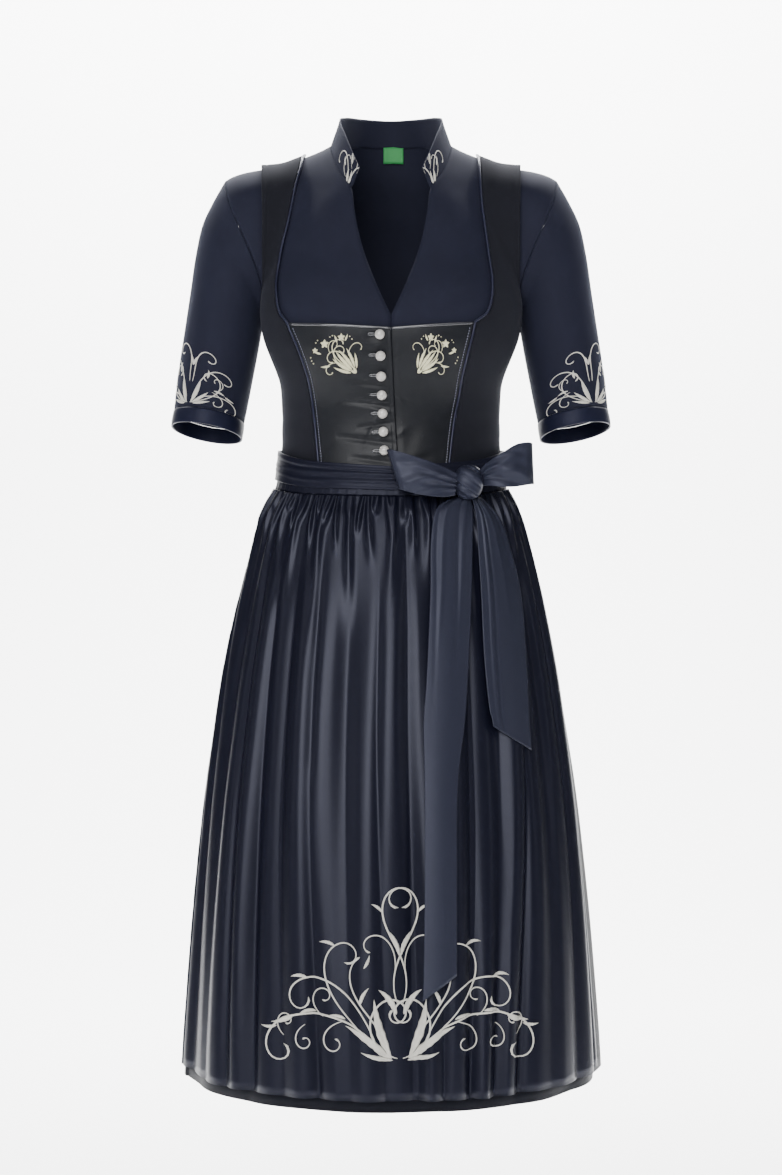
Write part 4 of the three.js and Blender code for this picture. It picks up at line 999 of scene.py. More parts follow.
def piping(name, line, node):
    spine = on_figure(line)
    normals = unit(slope(spine))
    radius = PIPING_WIDTH / 2
    above = BODICE[0] + radius - 0.4
    ripple = 1 + 0.03 * np.sin(along(spine) / 2.6)
    vertices, faces, uv = tube(spine + normals * above, normals, (radius * ripple, radius * ripple), 10)
    piece = made(name, vertices, faces, uv, PIPING_SATIN)
    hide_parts(node)


def stitches(name, line, normals, above, length, gap, width, material):
    """A row of short raised stitches along a line on a piece."""
    place = along(line)
    count = int(place[-1] // (length + gap))
    parts = []
    for k in range(count):
        start = (k + 0.25) * (length + gap)
        at = np.linspace(start, start + length, 5)
        spine = np.stack([np.interp(at, place, line[:, n]) for n in range(3)], axis=1)
        up = unit(np.stack([np.interp(at, place, normals[:, n]) for n in range(3)], axis=1))
        rise = np.array([0.2, 0.85, 1, 0.85, 0.2]) * width * 0.5
        radius = np.array([0.3, 0.9, 1, 0.9, 0.3]) * width * 0.5
        parts.append(tube(spine + up * (above + rise)[:, None], up, (radius, radius), 6))
    vertices, faces, uv = gathered_mesh(parts)
    return made(name, vertices, faces, uv, material)


def bodice_front(name, side, edge_rows):
    edge = [strap_top(side), *(front_point(place) for place in edge_rows)]
    strap = spaced(edge[:CORNER - 1], STRAP_ROWS, SHOULDER_EASE)
    corner = spaced(edge[CORNER - 2:CORNER + 1], CORNER_ROWS)
    seam = spaced(edge[CORNER:], SEAM_ROWS)
    first = joined(strap, corner, seam)
    outer = joined(bodice_armhole(ARMHOLE_FRONT, side, HOLE_ROWS), side_seam(side))
    grid = on_guides([first, between(first, outer), outer], [3, 4], first=BESIDE_PIPING)
    push = creased_upright(grid[0] * [side, 1, 1], BODICE_CREASES)
    piece = side_wall(f"side_front_{name}", grid, push, "bodice_cloth")

    centre = spaced([front_point(place) for place in CENTRE_EDGE], SEAM_ROWS)
    guides = [seam, between(seam, centre), centre]
    points, normals = finer(on_guides(guides, [3, 4], first=BESIDE_PIPING, top=BINDING_WIDTH), 3)
    push = creased_upright(points, LEATHER_CREASES if side < 0 else LEATHER_LEFT_CREASES)
    from_seam = np.linalg.norm(points - points[:, :1], axis=2)
    from_centre = np.linalg.norm(points - points[:, -1:], axis=2)
    push = push - 0.45 * bump(from_seam - 3.2, 1.0) + 0.25 * bump(from_seam - 1.2, 1.0)
    if side < 0:
        push = push + 0.9 * (1 - smooth(from_centre, 1.5, 26)) - 0.35 * bump(from_centre - 4, 0.9)
    else:
        push = push - 0.6 * (1 - smooth(from_centre, 0, 8))
    piece = keep(f"leather_front_{name}", shell(f"leather_front_{name}_skin", points, normals,
                                                BODICE[0], BODICE[1] + push, LEATHER), "leather",
                 f"leather_front_{name}")
    pick = int(np.argmin(np.abs(from_seam.mean(axis=0) - 3.2)))
    surface = shells[f"leather_front_{name}"]
    stitches(f"seam_stitches_{name}", surface[2:-2, pick], normals[2:-2, pick], 0.1, 2.2, 0.9, 0.8,
        NAVY_THREAD)

    edge_points, edge_normals = on_guides(guides, [3, 4], first=BESIDE_PIPING + 0.3, last=0.5,
        top=BINDING_WIDTH / 2)
    spine = edge_points[0] + edge_normals[0] * (BODICE[1] - 0.6)
    along_spine = np.arange(len(spine))
    wobble = 1 + 0.08 * np.sin(along_spine * 0.9) + 0.05 * np.sin(along_spine * 0.37 + side)
    vertices, faces, uv = tube(spine, edge_normals[0],
        (BINDING_WIDTH / 2 * np.ones(len(spine)), 1.25 * wobble), 12)
    # The top binding takes the lighter leather, whose tone is a painted highlight.
    piece = made(f"top_binding_{name}_skin", vertices, faces, uv, BINDING_LEATHER_PAINTED_HIGHLIGHT)
    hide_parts(f"top_binding_{name}")
    piping(f"piping_{name}_cord", first, f"piping_{name}")


def back_edge(side):
    return [strap_top(side), *(back_point(side * x, z) for x, z in BACK_EDGE)]


def back_strap(side):
    return spaced(back_edge(side)[:BACK_CORNER + 1], BACK_STRAP_ROWS, SHOULDER_EASE)


def back_seam(side):
    return spaced(back_edge(side)[BACK_CORNER:], BACK_SEAM_ROWS)


def bodice_back():
    for name, side in (("right", -1), ("left", 1)):
        first = joined(back_strap(side), back_seam(side))
        seam_rows = SIDE_ROWS - HOLE_ROWS
        hole_rows = BACK_STRAP_ROWS + BACK_SEAM_ROWS - seam_rows
        outer = joined(bodice_armhole(ARMHOLE_BACK, side, hole_rows), side_seam(side))
        trim = np.where(np.arange(len(first)) <= BACK_STRAP_ROWS, BESIDE_PIPING, SEAM)
        grid = on_guides([first, between(first, outer), outer], [4, 4], first=trim)
        push = creased_upright(grid[0] * [side, 1, 1], BODICE_BACK_CREASES)
        from_seam = np.linalg.norm(grid[0] - grid[0][:, :1], axis=2)
        below = smooth(np.arange(len(first)), BACK_STRAP_ROWS, BACK_STRAP_ROWS + 3)[:, None]
        push = push - 0.5 * bump(from_seam, 0.9) * below
        piece = side_wall(f"side_back_{name}", grid, push, "bodice_cloth")

    across = 10 * ACROSS_FINER
    right, left = back_seam(-1), back_seam(1)
    neck = on_figure(spaced([right[0], on_back(0, BACK_NECK), left[0]], across))
    part = np.arange(across + 1) / across
    level = right[:, None] + (left - right)[:, None] * part[None, :, None]
    below_neck = 1 - np.arange(len(right)) / BACK_SEAM_ROWS
    level[..., 2] += (neck[:, 2] - right[0, 2])[None, :] * below_neck[:, None]
    points = on_figure(level)
    points[:, 0] = trimmed(points[:, 0], points[:, 1], SEAM)
    points[:, -1] = trimmed(points[:, -1], points[:, -2], SEAM)
    neckline = points[0].copy()
    points[0] += unit(points[1] - points[0]) * BESIDE_PIPING
    points = on_figure(points)
    normals = unit(slope(points))
    push = creased(points, [(-50, 78, -300, 50, 78, -303, 6, -0.8), (-40, 80, -325, 46, 80, -322, 6, -0.9),
                            (-46, 84, -345, 42, 84, -347, 5, -0.8)])
    for column in (0, -1):
        push -= 0.5 * bump(np.linalg.norm(points - points[:, column][:, None], axis=2), 0.9)
    piece = keep("back_centre",
        shell("back_centre_cloth", points, normals, BODICE[0], BODICE[1] + push, WOOL),
                 "bodice_cloth", "back_centre")
    line = joined(back_strap(-1), neckline, back_strap(1)[::-1])
    piping("piping_back_cord", line, "piping_back")


# The buttons and buttonholes.
def lathe(profile, count):
    """Vertices and faces of a profile of radius and height turned about the Z axis."""
    turn = np.arange(count) / count * 2 * math.pi
    rings = [np.stack([r * np.cos(turn), r * np.sin(turn), np.full(count, h)], axis=1)
        for r, h in profile[1:-1]]
    vertices = np.vstack([[[0, 0, profile[0][1]]], *rings, [[0, 0, profile[-1][1]]]])
    faces, last = [], len(vertices) - 1
    for i in range(count):
        j = (i + 1) % count
        faces.append([0, 1 + j, 1 + i])
        for k in range(len(rings) - 1):
            a, b = 1 + k * count, 1 + (k + 1) * count
            faces.append([a + i, a + j, b + j, b + i])
        top = 1 + (len(rings) - 1) * count
        faces.append([last, top + i, top + j])
    return vertices, faces


def turned_to(vertices, seat, up):
    side = unit(np.cross([0, 0, 1], up))
    return seat + vertices[:, :1] * side + vertices[:, 1:2] * np.cross(up, side) + vertices[:, 2:] * up


def closures():
    radius, high = BUTTON["diameter"] / 2, BUTTON["height"]
    arc = [(radius * math.cos(a), high * 0.5 + high * 0.5 * math.sin(a)) for a in np.linspace(-1.2, 1.5, 15)]
    profile = [(0, 0.0), (radius * 0.3, 0.0), *arc, (0, high)]
    for k in range(BUTTON["count"]):
        part = k / (BUTTON["count"] - 1)
        seat = on_front(mix(BUTTON["x_top"], BUTTON["x_low"], part), BUTTON["top"] - k * BUTTON["pitch"])
        up = unit(slope(seat))
        vertices, faces = lathe(profile, 28)
        piece = made(f"pearl_button_{k + 1}", turned_to(vertices, seat + up * 6.4, up), faces, None, PEARL)
        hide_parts(f"button_{k + 1}")

        centre = on_front(seat[0] - BUTTONHOLE["length"] / 2 - 1, seat[2])
        long_way = unit(np.cross(slope(centre), [0, 0, 1]))
        high_way = unit(np.cross(long_way, slope(centre)))
        half = BUTTONHOLE["length"] / 2 - 1.2
        turn = np.linspace(0, 2 * math.pi, 41)
        stadium = (np.sign(np.cos(turn)) * (half * np.abs(np.cos(turn)) ** 0.5))[:, None] * long_way
        stadium = stadium + (1.15 * np.sin(turn))[:, None] * high_way
        line = on_figure(centre + stadium)
        normals = unit(slope(line))
        lips = tube(line + normals * 6.2, normals, (0.95, 0.8), 8)
        slit = tube(on_figure(centre + np.linspace(-half, half, 9)[:, None] * long_way) + normals[:9] * 6.0,
                    normals[:9], (0.9, 0.5), 6)
        vertices, faces, uv = gathered_mesh([lips])
        # The buttonhole lips take the same lighter leather, whose tone is a painted highlight.
        piece = made(f"buttonhole_{k + 1}_welt", vertices, faces, uv, BINDING_LEATHER_PAINTED_HIGHLIGHT)
        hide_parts(f"buttonhole_{k + 1}")
        # The slit is a dark cord laid between the lips: painted shade in the gap.
        made(f"buttonhole_{k + 1}_slit", *slit, SLIT_PAINTED_SHADE)


# Embroidery. Each motif is drawn on the cloth in millimetres: x outward from its axis, z up from
# its foot. A stem turns by bend degrees to the millimetre at its start and by curl at its end.
HEM_MOTIF = {"x": 10, "z": -1006, "rise": 0.75}
HEM_STEMS = table(
    "x z heading length bend curl power wide",
    (3, 3, 12, 150, 1.5, 9.5, 3.2, 2.3), (12, 8, 78, 120, -0.9, 3, 1.6, 1.9),
    (16, 6, 55, 215, -0.55, -8.5, 5, 2.4),
    (24, 12, 72, 185, -0.35, -7.5, 3.4, 2.1), (34, 24, 40, 170, 0.25, 7.5, 3, 1.9),
    (3, 62, 68, 175, 1.05, -7, 2.2, 2.2),
    (6, 96, 100, 80, -1.2, -9, 2.4, 1.6), (60, 43, -8, 72, -1.5, -11, 1.8, 1.6),
    (84, 47, 30, 64, 2.2, 12, 1.8, 1.5),
    (104, 38, -30, 56, -2.2, -14, 1.6, 1.5), (128, 24, 40, 50, 2.5, 14, 1.6, 1.4),
)
HEM_LEAVES = table(
    "x z heading length bend wide",
    (10, 4, 62, 66, 0.35, 9), (13, 4, 46, 58, -0.35, 8), (9, 3, 24, 34, 0.9, 6), (8, 1, 6, 36, 0.5, 5),
    (4, 50, 74, 34, -1.2, 6.5), (72, 123, 40, 18, -3, 3.6), (102, 88, 30, 19, -3, 3.8),
    (44, 60, 95, 22, 2, 4),
    (92, 52, 20, 20, -3, 3.8), (118, 46, -38, 26, 1.5, 4.5), (1, 113, 82, 28, -1, 4.6),
    (60, 45, 30, 18, -2, 3.6),
    (136, 34, -20, 18, 2, 3.4), (40, 100, 130, 16, -2, 3.2), (20, 160, 60, 15, -3, 3.2),
)
SPRIG_MOTIFS = ({"x": -39, "side": -1, "z": -248}, {"x": 30, "side": 0.88, "z": -248})
SPRIG_STEMS = table(
    "x z heading length bend curl power wide",
    (0, 1, 30, 62, 0.2, 14, 2.6, 1.1), (0, 1, 62, 58, -0.4, -15, 2.4, 1.1), (6, 5, 14, 52, 1.2, 16, 2, 1.0),
    (20, 12, 6, 30, -2, -20, 1.6, 0.9), (9, 20, 92, 30, 2.4, 18, 1.8, 0.9), (30, 23, 60, 26, 4, 20, 1.6, 0.8),
)
SPRIG_LEAVES = table(
    "x z heading length bend wide",
    (6, 1, 8, 21, 0.9, 3.4), (6, 3, 24, 25, 0.7, 3.8), (5, 5, 40, 27, 0.5, 4), (3.5, 6, 57, 26, -0.5, 3.9),
    (2, 7, 74, 23, -0.7, 3.5), (0, 6, 92, 17, -1, 3), (0, 1, 20, 7, 0, 3), (0, 1, 60, 8, 0, 3),
    (30, 9, -16, 11, 2, 2.4),
    (22, 34, 80, 9, -2, 2.2), (40, 22, 10, 10, 3, 2.2), (13, 36, 120, 8, -2, 2),
)
SPRIG_FLOWERS = table("x z size", (36, 33, 5), (17, 40, 4.4), (47, 26, 3.2))
SPRIG_BERRIES = table("x z size", (49, 12, 0.8), (51, 15, 0.7), (52, 18.5, 0.7), (27, 42, 0.8),
    (30, 40.5, 0.7), (5, 38, 0.8),
                      (7.5, 41, 0.7), (44, 37, 0.7), (46, 34.5, 0.7))
SLEEVE_MOTIF = {"above_cuff": 4, "turn": 58}
SLEEVE_STEMS = table(
    "x z heading length bend curl power wide",
    (2, 2, 8, 92, 1.2, 11, 3, 1.5), (6, 4, 40, 98, -0.9, -13, 3, 1.5), (4, 10, 74, 92, -0.3, -12, 3, 1.5),
    (2, 30, 82, 80, 0.6, -13, 2, 1.5), (28, 22, -12, 42, -2, -16, 1.7, 1.2),
    (34, 26, 40, 34, 3, 18, 1.7, 1.1),
)
SLEEVE_LEAVES = table(
    "x z heading length bend wide",
    (3, 2, 64, 32, 0.5, 5), (5, 2, 34, 26, 0.8, 4.2), (6, 1, 8, 22, 0.8, 3.6), (20, 40, 70, 13, 3, 2.8),
    (30, 25, 12, 14, -3, 2.8), (0.5, 52, 84, 16, -2, 3), (44, 22, -30, 14, 2, 2.8),
)
COLLAR_STEMS = table(
    "x z heading length bend curl power wide",
    (6, 1, 80, 52, 0.9, 14, 2.2, 1.3), (8, 2, 58, 58, -0.8, -13, 2.4, 1.3),
    (11, 18, 28, 38, 2.4, 16, 1.8, 1.1),
    (5, 20, 108, 26, -3, -20, 1.6, 1), (16, 4, 20, 34, 1.8, 15, 2, 1),
)
COLLAR_LEAVES = table(
    "x z heading length bend wide",
    (7, 0, 96, 17, -2, 3.6), (9, 0, 48, 16, 2, 3.4), (14, 22, 70, 11, -3, 2.6), (24, 13, 20, 10, 3, 2.4),
)


def table_rows(values):
    return [dict(zip(values, row)) for row in zip(*values.values())]


def scroll(x, z, heading, length, bend, curl, power, steps=44):
    """A stem's places and directions on the cloth."""
    s = np.linspace(0, 1, steps + 1)
    turn = DEGREE * (heading + length * (bend * s + (curl - bend) * s ** (power + 1) / (power + 1)))
    middle = (turn[1:] + turn[:-1]) / 2
    run = np.stack([np.cos(middle), np.sin(middle)], axis=1) * length / steps
    return np.vstack([[x, z], [x, z] + np.cumsum(run, axis=0)]), turn, s


# The section of a stem and of a leaf, which has a vein: places across it, and heights.
STEM_SECTION = np.array([(-1, 0), (-0.6, 0.75), (0, 1), (0.6, 0.75), (1, 0), (0, -0.6)])
LEAF_SECTION = np.array([(-1, 0), (-0.7, 0.8), (-0.3, 1), (0, 0.45), (0.3, 1), (0.7, 0.8), (1, 0), (0, -0.6)])


def stitched(places, turn, half, high, section, surface):
    """A raised thread form along places on a surface, with half its width and height at each."""
    aside = np.stack([-np.sin(turn), np.cos(turn)], axis=1)[:, None]
    spots = places[:, None] + aside * (section[:, 0] * half[:, None])[..., None]
    points, normals = surface(spots.reshape(-1, 2))
    lift = (section[:, 1] * high[:, None]).reshape(-1, 1)
    return lofted((points + normals * lift).reshape(*spots.shape[:2], 3))


def embroidered(surface, rise, stems=None, leaves=None, flowers=None, berries=None):
    """The thread forms of one motif on a surface."""
    parts = []
    for row in table_rows(stems) if stems else ():
        wide = row.pop("wide")
        places, turn, s = scroll(**row)
        half = wide / 2 * (0.45 + 0.55 * np.sin(math.pi * np.clip(s, 0, 0.94)) ** 0.7 + 0.75
            * bump(s - 0.97, 0.035))
        half = half * np.clip((1 - s) / 0.012, 0.25, 1)
        parts.append(stitched(places, turn, half, half * rise, STEM_SECTION, surface))
    petals = [] if leaves is None else table_rows(leaves)
    for flower in table_rows(flowers) if flowers else ():
        size = flower["size"]
        petals += [{"x": flower["x"], "z": flower["z"], "heading": 18 + 72 * k, "length": size, "bend": 0,
                    "wide": size * 0.62} for k in range(5)]
    for row in petals:
        wide, bend = row.pop("wide"), row["bend"]
        places, turn, s = scroll(curl=bend, power=1, steps=22, **row)
        half = np.maximum(wide / 2 * np.sin(math.pi * s ** 0.8) ** 0.85 * (1 + 0.08 * np.sin(s * 34)), 0.12)
        parts.append(stitched(places, turn, half, np.minimum(half * rise, 0.8), LEAF_SECTION, surface))
    for row in table_rows(berries) if berries else ():
        places, turn, s = scroll(row["x"] - row["size"], row["z"], 0, 2 * row["size"], 0, 0, 1, 6)
        half = np.maximum(row["size"] * np.sqrt(np.clip(1 - (2 * s - 1) ** 2, 0, 1)), 0.1)
        parts.append(stitched(places, turn, half, half, STEM_SECTION, surface))
    return parts


def seen_from_front(piece, axis, foot, side):
    """A motif's places laid straight back onto the pieces of cloth behind them."""
    tree = BVHTree.FromObject(piece, bpy.context.evaluated_depsgraph_get())

    def surface(spots):
        points, normals = [], []
        for x, z in spots:
            start = ((axis + side * x) * MM, -0.5, (foot + z) * MM)
            hit, normal, _, _ = tree.ray_cast(start, (0, 1, 0))
            missed = (start[0], points[-1][1] * MM if points else 0, start[2])
            points.append(np.array(hit if hit else missed) / MM)
            normals.append(np.array(normal if hit else (0, -1, 0)))
        return np.array(points), unit(np.array(normals) + [0, -0.4, 0])

    return surface


def on_grid(points, normals, place, round_it=False):
    """A motif's places on a grid, by a function to its fractional row and column."""
    rows, columns = points.shape[:2]

    def surface(spots):
        row, column = place(spots[:, 0], spots[:, 1])
        row = np.clip(row, 0, rows - 1.001)
        column = column if round_it else np.clip(column, 0, columns - 1.001)
        j, i = np.floor(row).astype(int), np.floor(column).astype(int)
        a, b = (row - j)[:, None], (column - i)[:, None]
        near, far = i % columns, (i + 1) % columns

        def blend_of(grid):
            return mix(mix(grid[j, near], grid[j, far], b), mix(grid[j + 1, near], grid[j + 1, far], b), a)

        return blend_of(points), unit(blend_of(normals))

    return surface


def thread_piece(name, parts, material):
    return made(name, *gathered_mesh(parts), material)


def embroidery():
    parts = []
    for side in (-1, 1):
        surface = seen_from_front(bpy.data.objects["apron_panel_cloth"], HEM_MOTIF["x"], HEM_MOTIF["z"], side)
        parts += embroidered(surface, HEM_MOTIF["rise"], HEM_STEMS, HEM_LEAVES)
    thread_piece("hem_embroidery", parts, SILVER_THREAD)

    for name, motif in zip(("right", "left"), SPRIG_MOTIFS):
        panel = bpy.data.objects[f"leather_front_{name}_skin"]
        surface = seen_from_front(panel, motif["x"], motif["z"], motif["side"])
        parts = embroidered(surface, 0.6, SPRIG_STEMS, SPRIG_LEAVES, SPRIG_FLOWERS, SPRIG_BERRIES)
        thread_piece(f"sprig_{name}", parts, IVORY_THREAD)

    for name, side in (("right", -1), ("left", 1)):
        points, normals = sleeve_grids[name]
        points = shells[f"sleeve_{name}"]
        rows, columns = points.shape[:2]
        across = along(np.vstack([points[-1], points[-1][:1]]))[-1] / columns
        down = np.linalg.norm(points[-1, 0] - points[-2, 0])
        foot = rows - 1 - SLEEVE_MOTIF["above_cuff"] / down
        front = -SLEEVE_MOTIF["turn"] / 360 * columns
        parts = []
        for half in (-1, 1):
            surface = on_grid(points, normals,
                lambda x, z, h=half: (foot - z / down, front + h * x / across), True)
            parts += embroidered(surface, 0.7, SLEEVE_STEMS, SLEEVE_LEAVES)
        thread_piece(f"sleeve_embroidery_{name}", parts, SILVER_THREAD)

    points, normals = collar_grid
    rows, columns = points.shape[:2]
    high = np.linalg.norm(points[-1, 6] - points[0, 6])
    step = np.linalg.norm(points[0, 1] - points[0, 0])
    for name, side in (("right", 1), ("left", -1)):
        first = 0 if side > 0 else columns - 1
        surface = on_grid(points, normals,
            lambda x, z, s=side, f=first: (z / high * (rows - 1), f + s * x / step))
        thread_piece(f"collar_embroidery_{name}", embroidered(surface, 0.7, COLLAR_STEMS, COLLAR_LEAVES),
            SILVER_THREAD)


# Bands, skirts and the apron.
def ring_point(turn, z, section, lift):
    """Points on a ring with the torso's shape, and the level directions out of it."""
    power = 2 / section["square"]
    s, c = np.sin(turn * DEGREE), np.cos(turn * DEGREE)
    x = section["half"] * np.sign(s) * np.abs(s) ** power
    y = section["middle"] - section["depth"] * np.sign(c) * np.abs(c) ** power
    out = unit(np.stack([s / section["half"], -c / section["depth"], np.zeros_like(s + z)], axis=-1))
    return np.stack([x, y, z + 0 * x], axis=-1) + out * np.asarray(lift)[..., None], out


# The long wrinkles of the tie round the waist: their turns, their heights at both ends as a part
# of the band's height from its top, their width as such a part, and how high they stand.
TIE_WRINKLES = (
    (-95, 20, 0.12, 0.2, 0.06, 0.9), (-80, 60, 0.42, 0.34, 0.07, 1.1), (-60, 95, 0.72, 0.62, 0.06, 0.9),
    (-30, 80, 0.86, 0.9, 0.05, 0.7), (-110, -20, 0.6, 0.78, 0.06, 0.8), (20, 110, 0.18, 0.12, 0.06, 0.8),
    (80, 200, 0.3, 0.44, 0.07, 1.0), (100, 250, 0.64, 0.56, 0.06, 1.0), (150, 270, 0.14, 0.22, 0.06, 0.8),
    (120, 230, 0.84, 0.8, 0.05, 0.8), (210, 290, 0.38, 0.5, 0.06, 0.9), (-50, 30, 0.58, 0.5, 0.045, -0.9),
    (-85, 10, 0.28, 0.26, 0.04, -0.9), (60, 180, 0.52, 0.54, 0.045, -0.8), (180, 280, 0.7, 0.68, 0.045, -0.8),
)


def waist_bands():
    columns = 240
    turn = np.linspace(-APRON["edge"], APRON["edge"], columns + 1)[None, :]
    part = np.linspace(0, 1, 17)[:, None]
    z = turned_waist(turn) - BAND_DROP + (1 - part) * BAND_HEIGHT
    points, out = ring_point(turn + 0 * part, z, torso_section(z), 0)
    quilt = 0.3 * bump((1 - part) * BAND_HEIGHT - 1.6, 1.0) - 0.35 * bump((1 - part) * BAND_HEIGHT - 3.4, 0.7)
    pull = 0.22 * np.sin(turn * 1.9 + 3 * part) * np.sin(turn * 0.73) + 0 * part
    piece = keep("waistband",
        shell("apron_waistband_cloth", points, out, WAISTBAND[0], WAISTBAND[1] + quilt + pull,
                                    SASH_SATIN), "apron_satin", "apron_waistband")

    columns = 360
    turn = np.arange(columns)[None, :] * 360 / columns
    part = np.linspace(0, 1, 31)[:, None]
    front = away_from_front(turn)
    z = mix(read(ROUND, "turn", "tie_top", front), read(ROUND, "turn", "tie_low", front), part)
    behind = smooth(front, APRON["edge"] + 4, APRON["edge"] + 24)
    points, out = ring_point(turn + 0 * part, z, torso_section(z),
        -behind * (WAISTBAND[1] - WAISTBAND[0]) + 0 * z)
    push = 0.7 * np.sin(math.pi * part) + 0 * turn
    for start, end, high, low, wide, rise in TIE_WRINKLES:
        at = np.mod(turn - start, 360) / (end - start)
        within = np.where(at <= 1, np.sin(math.pi * np.clip(at, 0, 1)) ** 0.5, 0)
        push = push + rise * within * bump(part - mix(high, low, np.clip(at, 0, 1)), wide)
    push = push + 0.3 * bump(part - 0.03, 0.03) + 0.3 * bump(part - 0.97, 0.03)
    piece = keep("tie_wrap",
        shell("tie_wrap_cloth", points, out, TIE[0], np.maximum(TIE[1] + push, TIE[0] + 0.4),
                                   SASH_SATIN, True), "apron_satin", "tie_wrap")


def between_ridges(folds, turn):
    k = np.clip(np.searchsorted(folds["waist"], turn, side="left") - 1, 0, len(folds["waist"]) - 2)
    t = (turn - folds["waist"][k]) / (folds["waist"][k + 1] - folds["waist"][k])
    return k, t


VALLEY_SOFTNESS = 0.012


def fold_wave(folds, turn, drop):
    """Folds whose ridges swell and fade on their way down, with valleys between them narrow or wide."""
    sway = 0.8 * np.sin(drop / 150 + turn / 31) * smooth(drop, 60, 300)
    k, t = between_ridges(folds, turn + sway)
    t = np.clip(t, 0, 1)
    before, after = (folds["rise"][n]
        * (0.7 + 0.25 * np.sin(5.3 * n) + 0.2 * np.sin(drop / (90 + 14 * (n % 4)) + 2.1 * n))
                     for n in (k, k + 1))
    t = t + 0.13 * np.sin(3.7 * k + 1) * np.sin(2 * math.pi * t) / 2
    round_ridge = np.sqrt(np.cos(math.pi * t) ** 2 + VALLEY_SOFTNESS) ** (1.0 + 0.35 * np.sin(2.4 * k))
    broad = 0.45 * np.cos(turn / 3.9 + drop / 260) + 0.25 * np.cos(turn / 6.1 - drop / 170)
    return mix(before, after, smooth(t, 0, 1)) * (2 * round_ridge - 1) + broad


def hem_turn(folds, turn):
    k, t = between_ridges(folds, turn)
    return mix(folds["hem"][k], folds["hem"][k + 1], t)


WAIST_SECTION = {key: float(value) for key, value in torso_section(-376).items()}
WAIST_GAP = 4 * SEAM


def skirt_section(drop):
    side, before, behind = (read(FLARE, "drop", key, drop) for key in ("side", "front", "back"))
    return {"half": WAIST_SECTION["half"] + side, "middle": WAIST_SECTION["middle"] + (behind - before) / 2,
            "depth": WAIST_SECTION["depth"] + (behind + before) / 2,
            "square": mix(WAIST_SECTION["square"], 2.05, smooth(drop, 0, 120))}


def skirt_fold(turn, drop, gather):
    back = smooth(away_from_front(turn), 78, 100)
    depth = mix(read(DEPTH, "drop", "skirt_front", drop), read(DEPTH, "drop", "skirt_back", drop), back)
    gathered = read(DEPTH, "drop", "gathered", drop) * back
    wave = fold_wave(SKIRT_FOLDS, np.where(turn < SKIRT_FIRST, turn + 360, turn), drop)
    return depth * mix(wave, gather, gathered)


def uneven(place, count, shift):
    """A gathering wave over a place from 0 to 1, with count gathers of uneven width."""
    warp = place + 0.35 / count * np.sin(2 * math.pi * (count * 0.21 * place + shift)) \
        + 0.25 / count * np.sin(2 * math.pi * (count * 0.37 * place + 2.3 * shift))
    return np.cos(2 * math.pi * count * warp)


def skirt_grid(turn, down, gather, extra=0.0):
    top = turned_waist(turn) - WAIST_GAP
    z = mix(top, read(ROUND, "turn", "hem", away_from_front(turn)), down)
    drop = top - z
    lift = BODICE[0] + skirt_fold(turn, drop, gather) + extra
    return ring_point(turn, z, skirt_section(drop), lift)


def side_seam_dip(turn):
    return -0.9 * bump(away_from_front(turn) - SKIRT["side"], 0.8)


def skirts():
    down = np.linspace(0, 1, 81)[:, None] ** 1.25
    turn = np.linspace(-SKIRT["side"], SKIRT["side"], 241)[None, :]
    points, out = skirt_grid(turn + 0 * down, down, 0, side_seam_dip(turn) + 0 * down)
    piece = keep("skirt_front", shell("skirt_front_cloth", points, out, 0, SKIRT_CLOTH, SKIRT_SATIN),
                 "skirt_satin", "skirt_front")

    part = np.linspace(0, 1, 421)[None, :]
    turn = 180 + (2 * part - 1) * (180 - SKIRT["side"]) + 0 * down
    ends = smooth(part, 0, 0.02) * (1 - smooth(part, 0.98, 1))
    gather = uneven(part, SKIRT["back_gathers"], 0.3) * ends
    drop = down * 690
    wave = 0.6 * np.sin(turn * 0.31 + drop / 160) * smooth(drop, 60, 260) * ends
    points, out = skirt_grid(turn, down, gather, wave + side_seam_dip(turn))
    piece = keep("skirt_back", shell("skirt_back_cloth", points, out, 0, SKIRT_CLOTH, SKIRT_SATIN),
                 "skirt_satin", "skirt_back")


# Shorter folds of the apron, which start at the gathers: their turn at the waist, where they start
# and end as drops, their half width in degrees and their height.
APRON_CREASES = (
    (-66, 20, 190, 1.6, 1.2), (-47, 25, 150, 1.7, 1.3), (-30, 20, 210, 1.6, 1.4), (-16, 20, 170, 1.5, 1.2),
    (5, 25, 160, 1.2, -1.2), (27, 20, 120, 1.6, 1.3), (66, 20, 220, 1.5, 1.2), (-73, 25, 240, 1.3, 1.0),
    (-28, 300, 640, 1.4, 0.9), (17, 280, 620, 1.3, 0.9), (60, 220, 600, 1.3, 0.9),
)


# The gathers under the waistband: how far each reaches down, how far it leans in degrees to the
# millimetre, and how high it stands, repeated round the band in places that are a little uneven.
GATHERS = table(
    "reach lean rise",
    (34, 0.05, 1.1), (120, -0.012, 0.8), (46, -0.06, 1.2), (75, 0.02, 0.9), (30, 0.03, 1.0), (210, 0.0, 0.7),
    (52, -0.04, 1.2), (95, 0.025, 0.9), (28, -0.05, 1.1), (62, 0.045, 1.0), (150, -0.015, 0.8),
    (40, -0.03, 1.25),
    (84, 0.01, 0.9),
)
GATHER_COUNT = 46


def gathers(turn, drop, count, edge):
    """The height of a band's gathers, from -1 between them to about 1 on them."""
    height = np.zeros_like(turn + drop) - 0.75
    for n in range(count):
        row = n % len(GATHERS["reach"])
        reach, lean, rise = (GATHERS[key][row] for key in ("reach", "lean", "rise"))
        at = -edge + 2 * edge * (n + 0.5 + 0.27 * math.sin(2.7 * n)) / count
        wide = edge / count * (0.62 + 0.16 * math.sin(1.9 * n)) * (1 + drop / 130)
        fade = 1 - smooth(drop, 0.3 * reach, reach)
        height = height + 1.75 * rise * fade * bump(turn - at - lean * drop, wide)
    return height


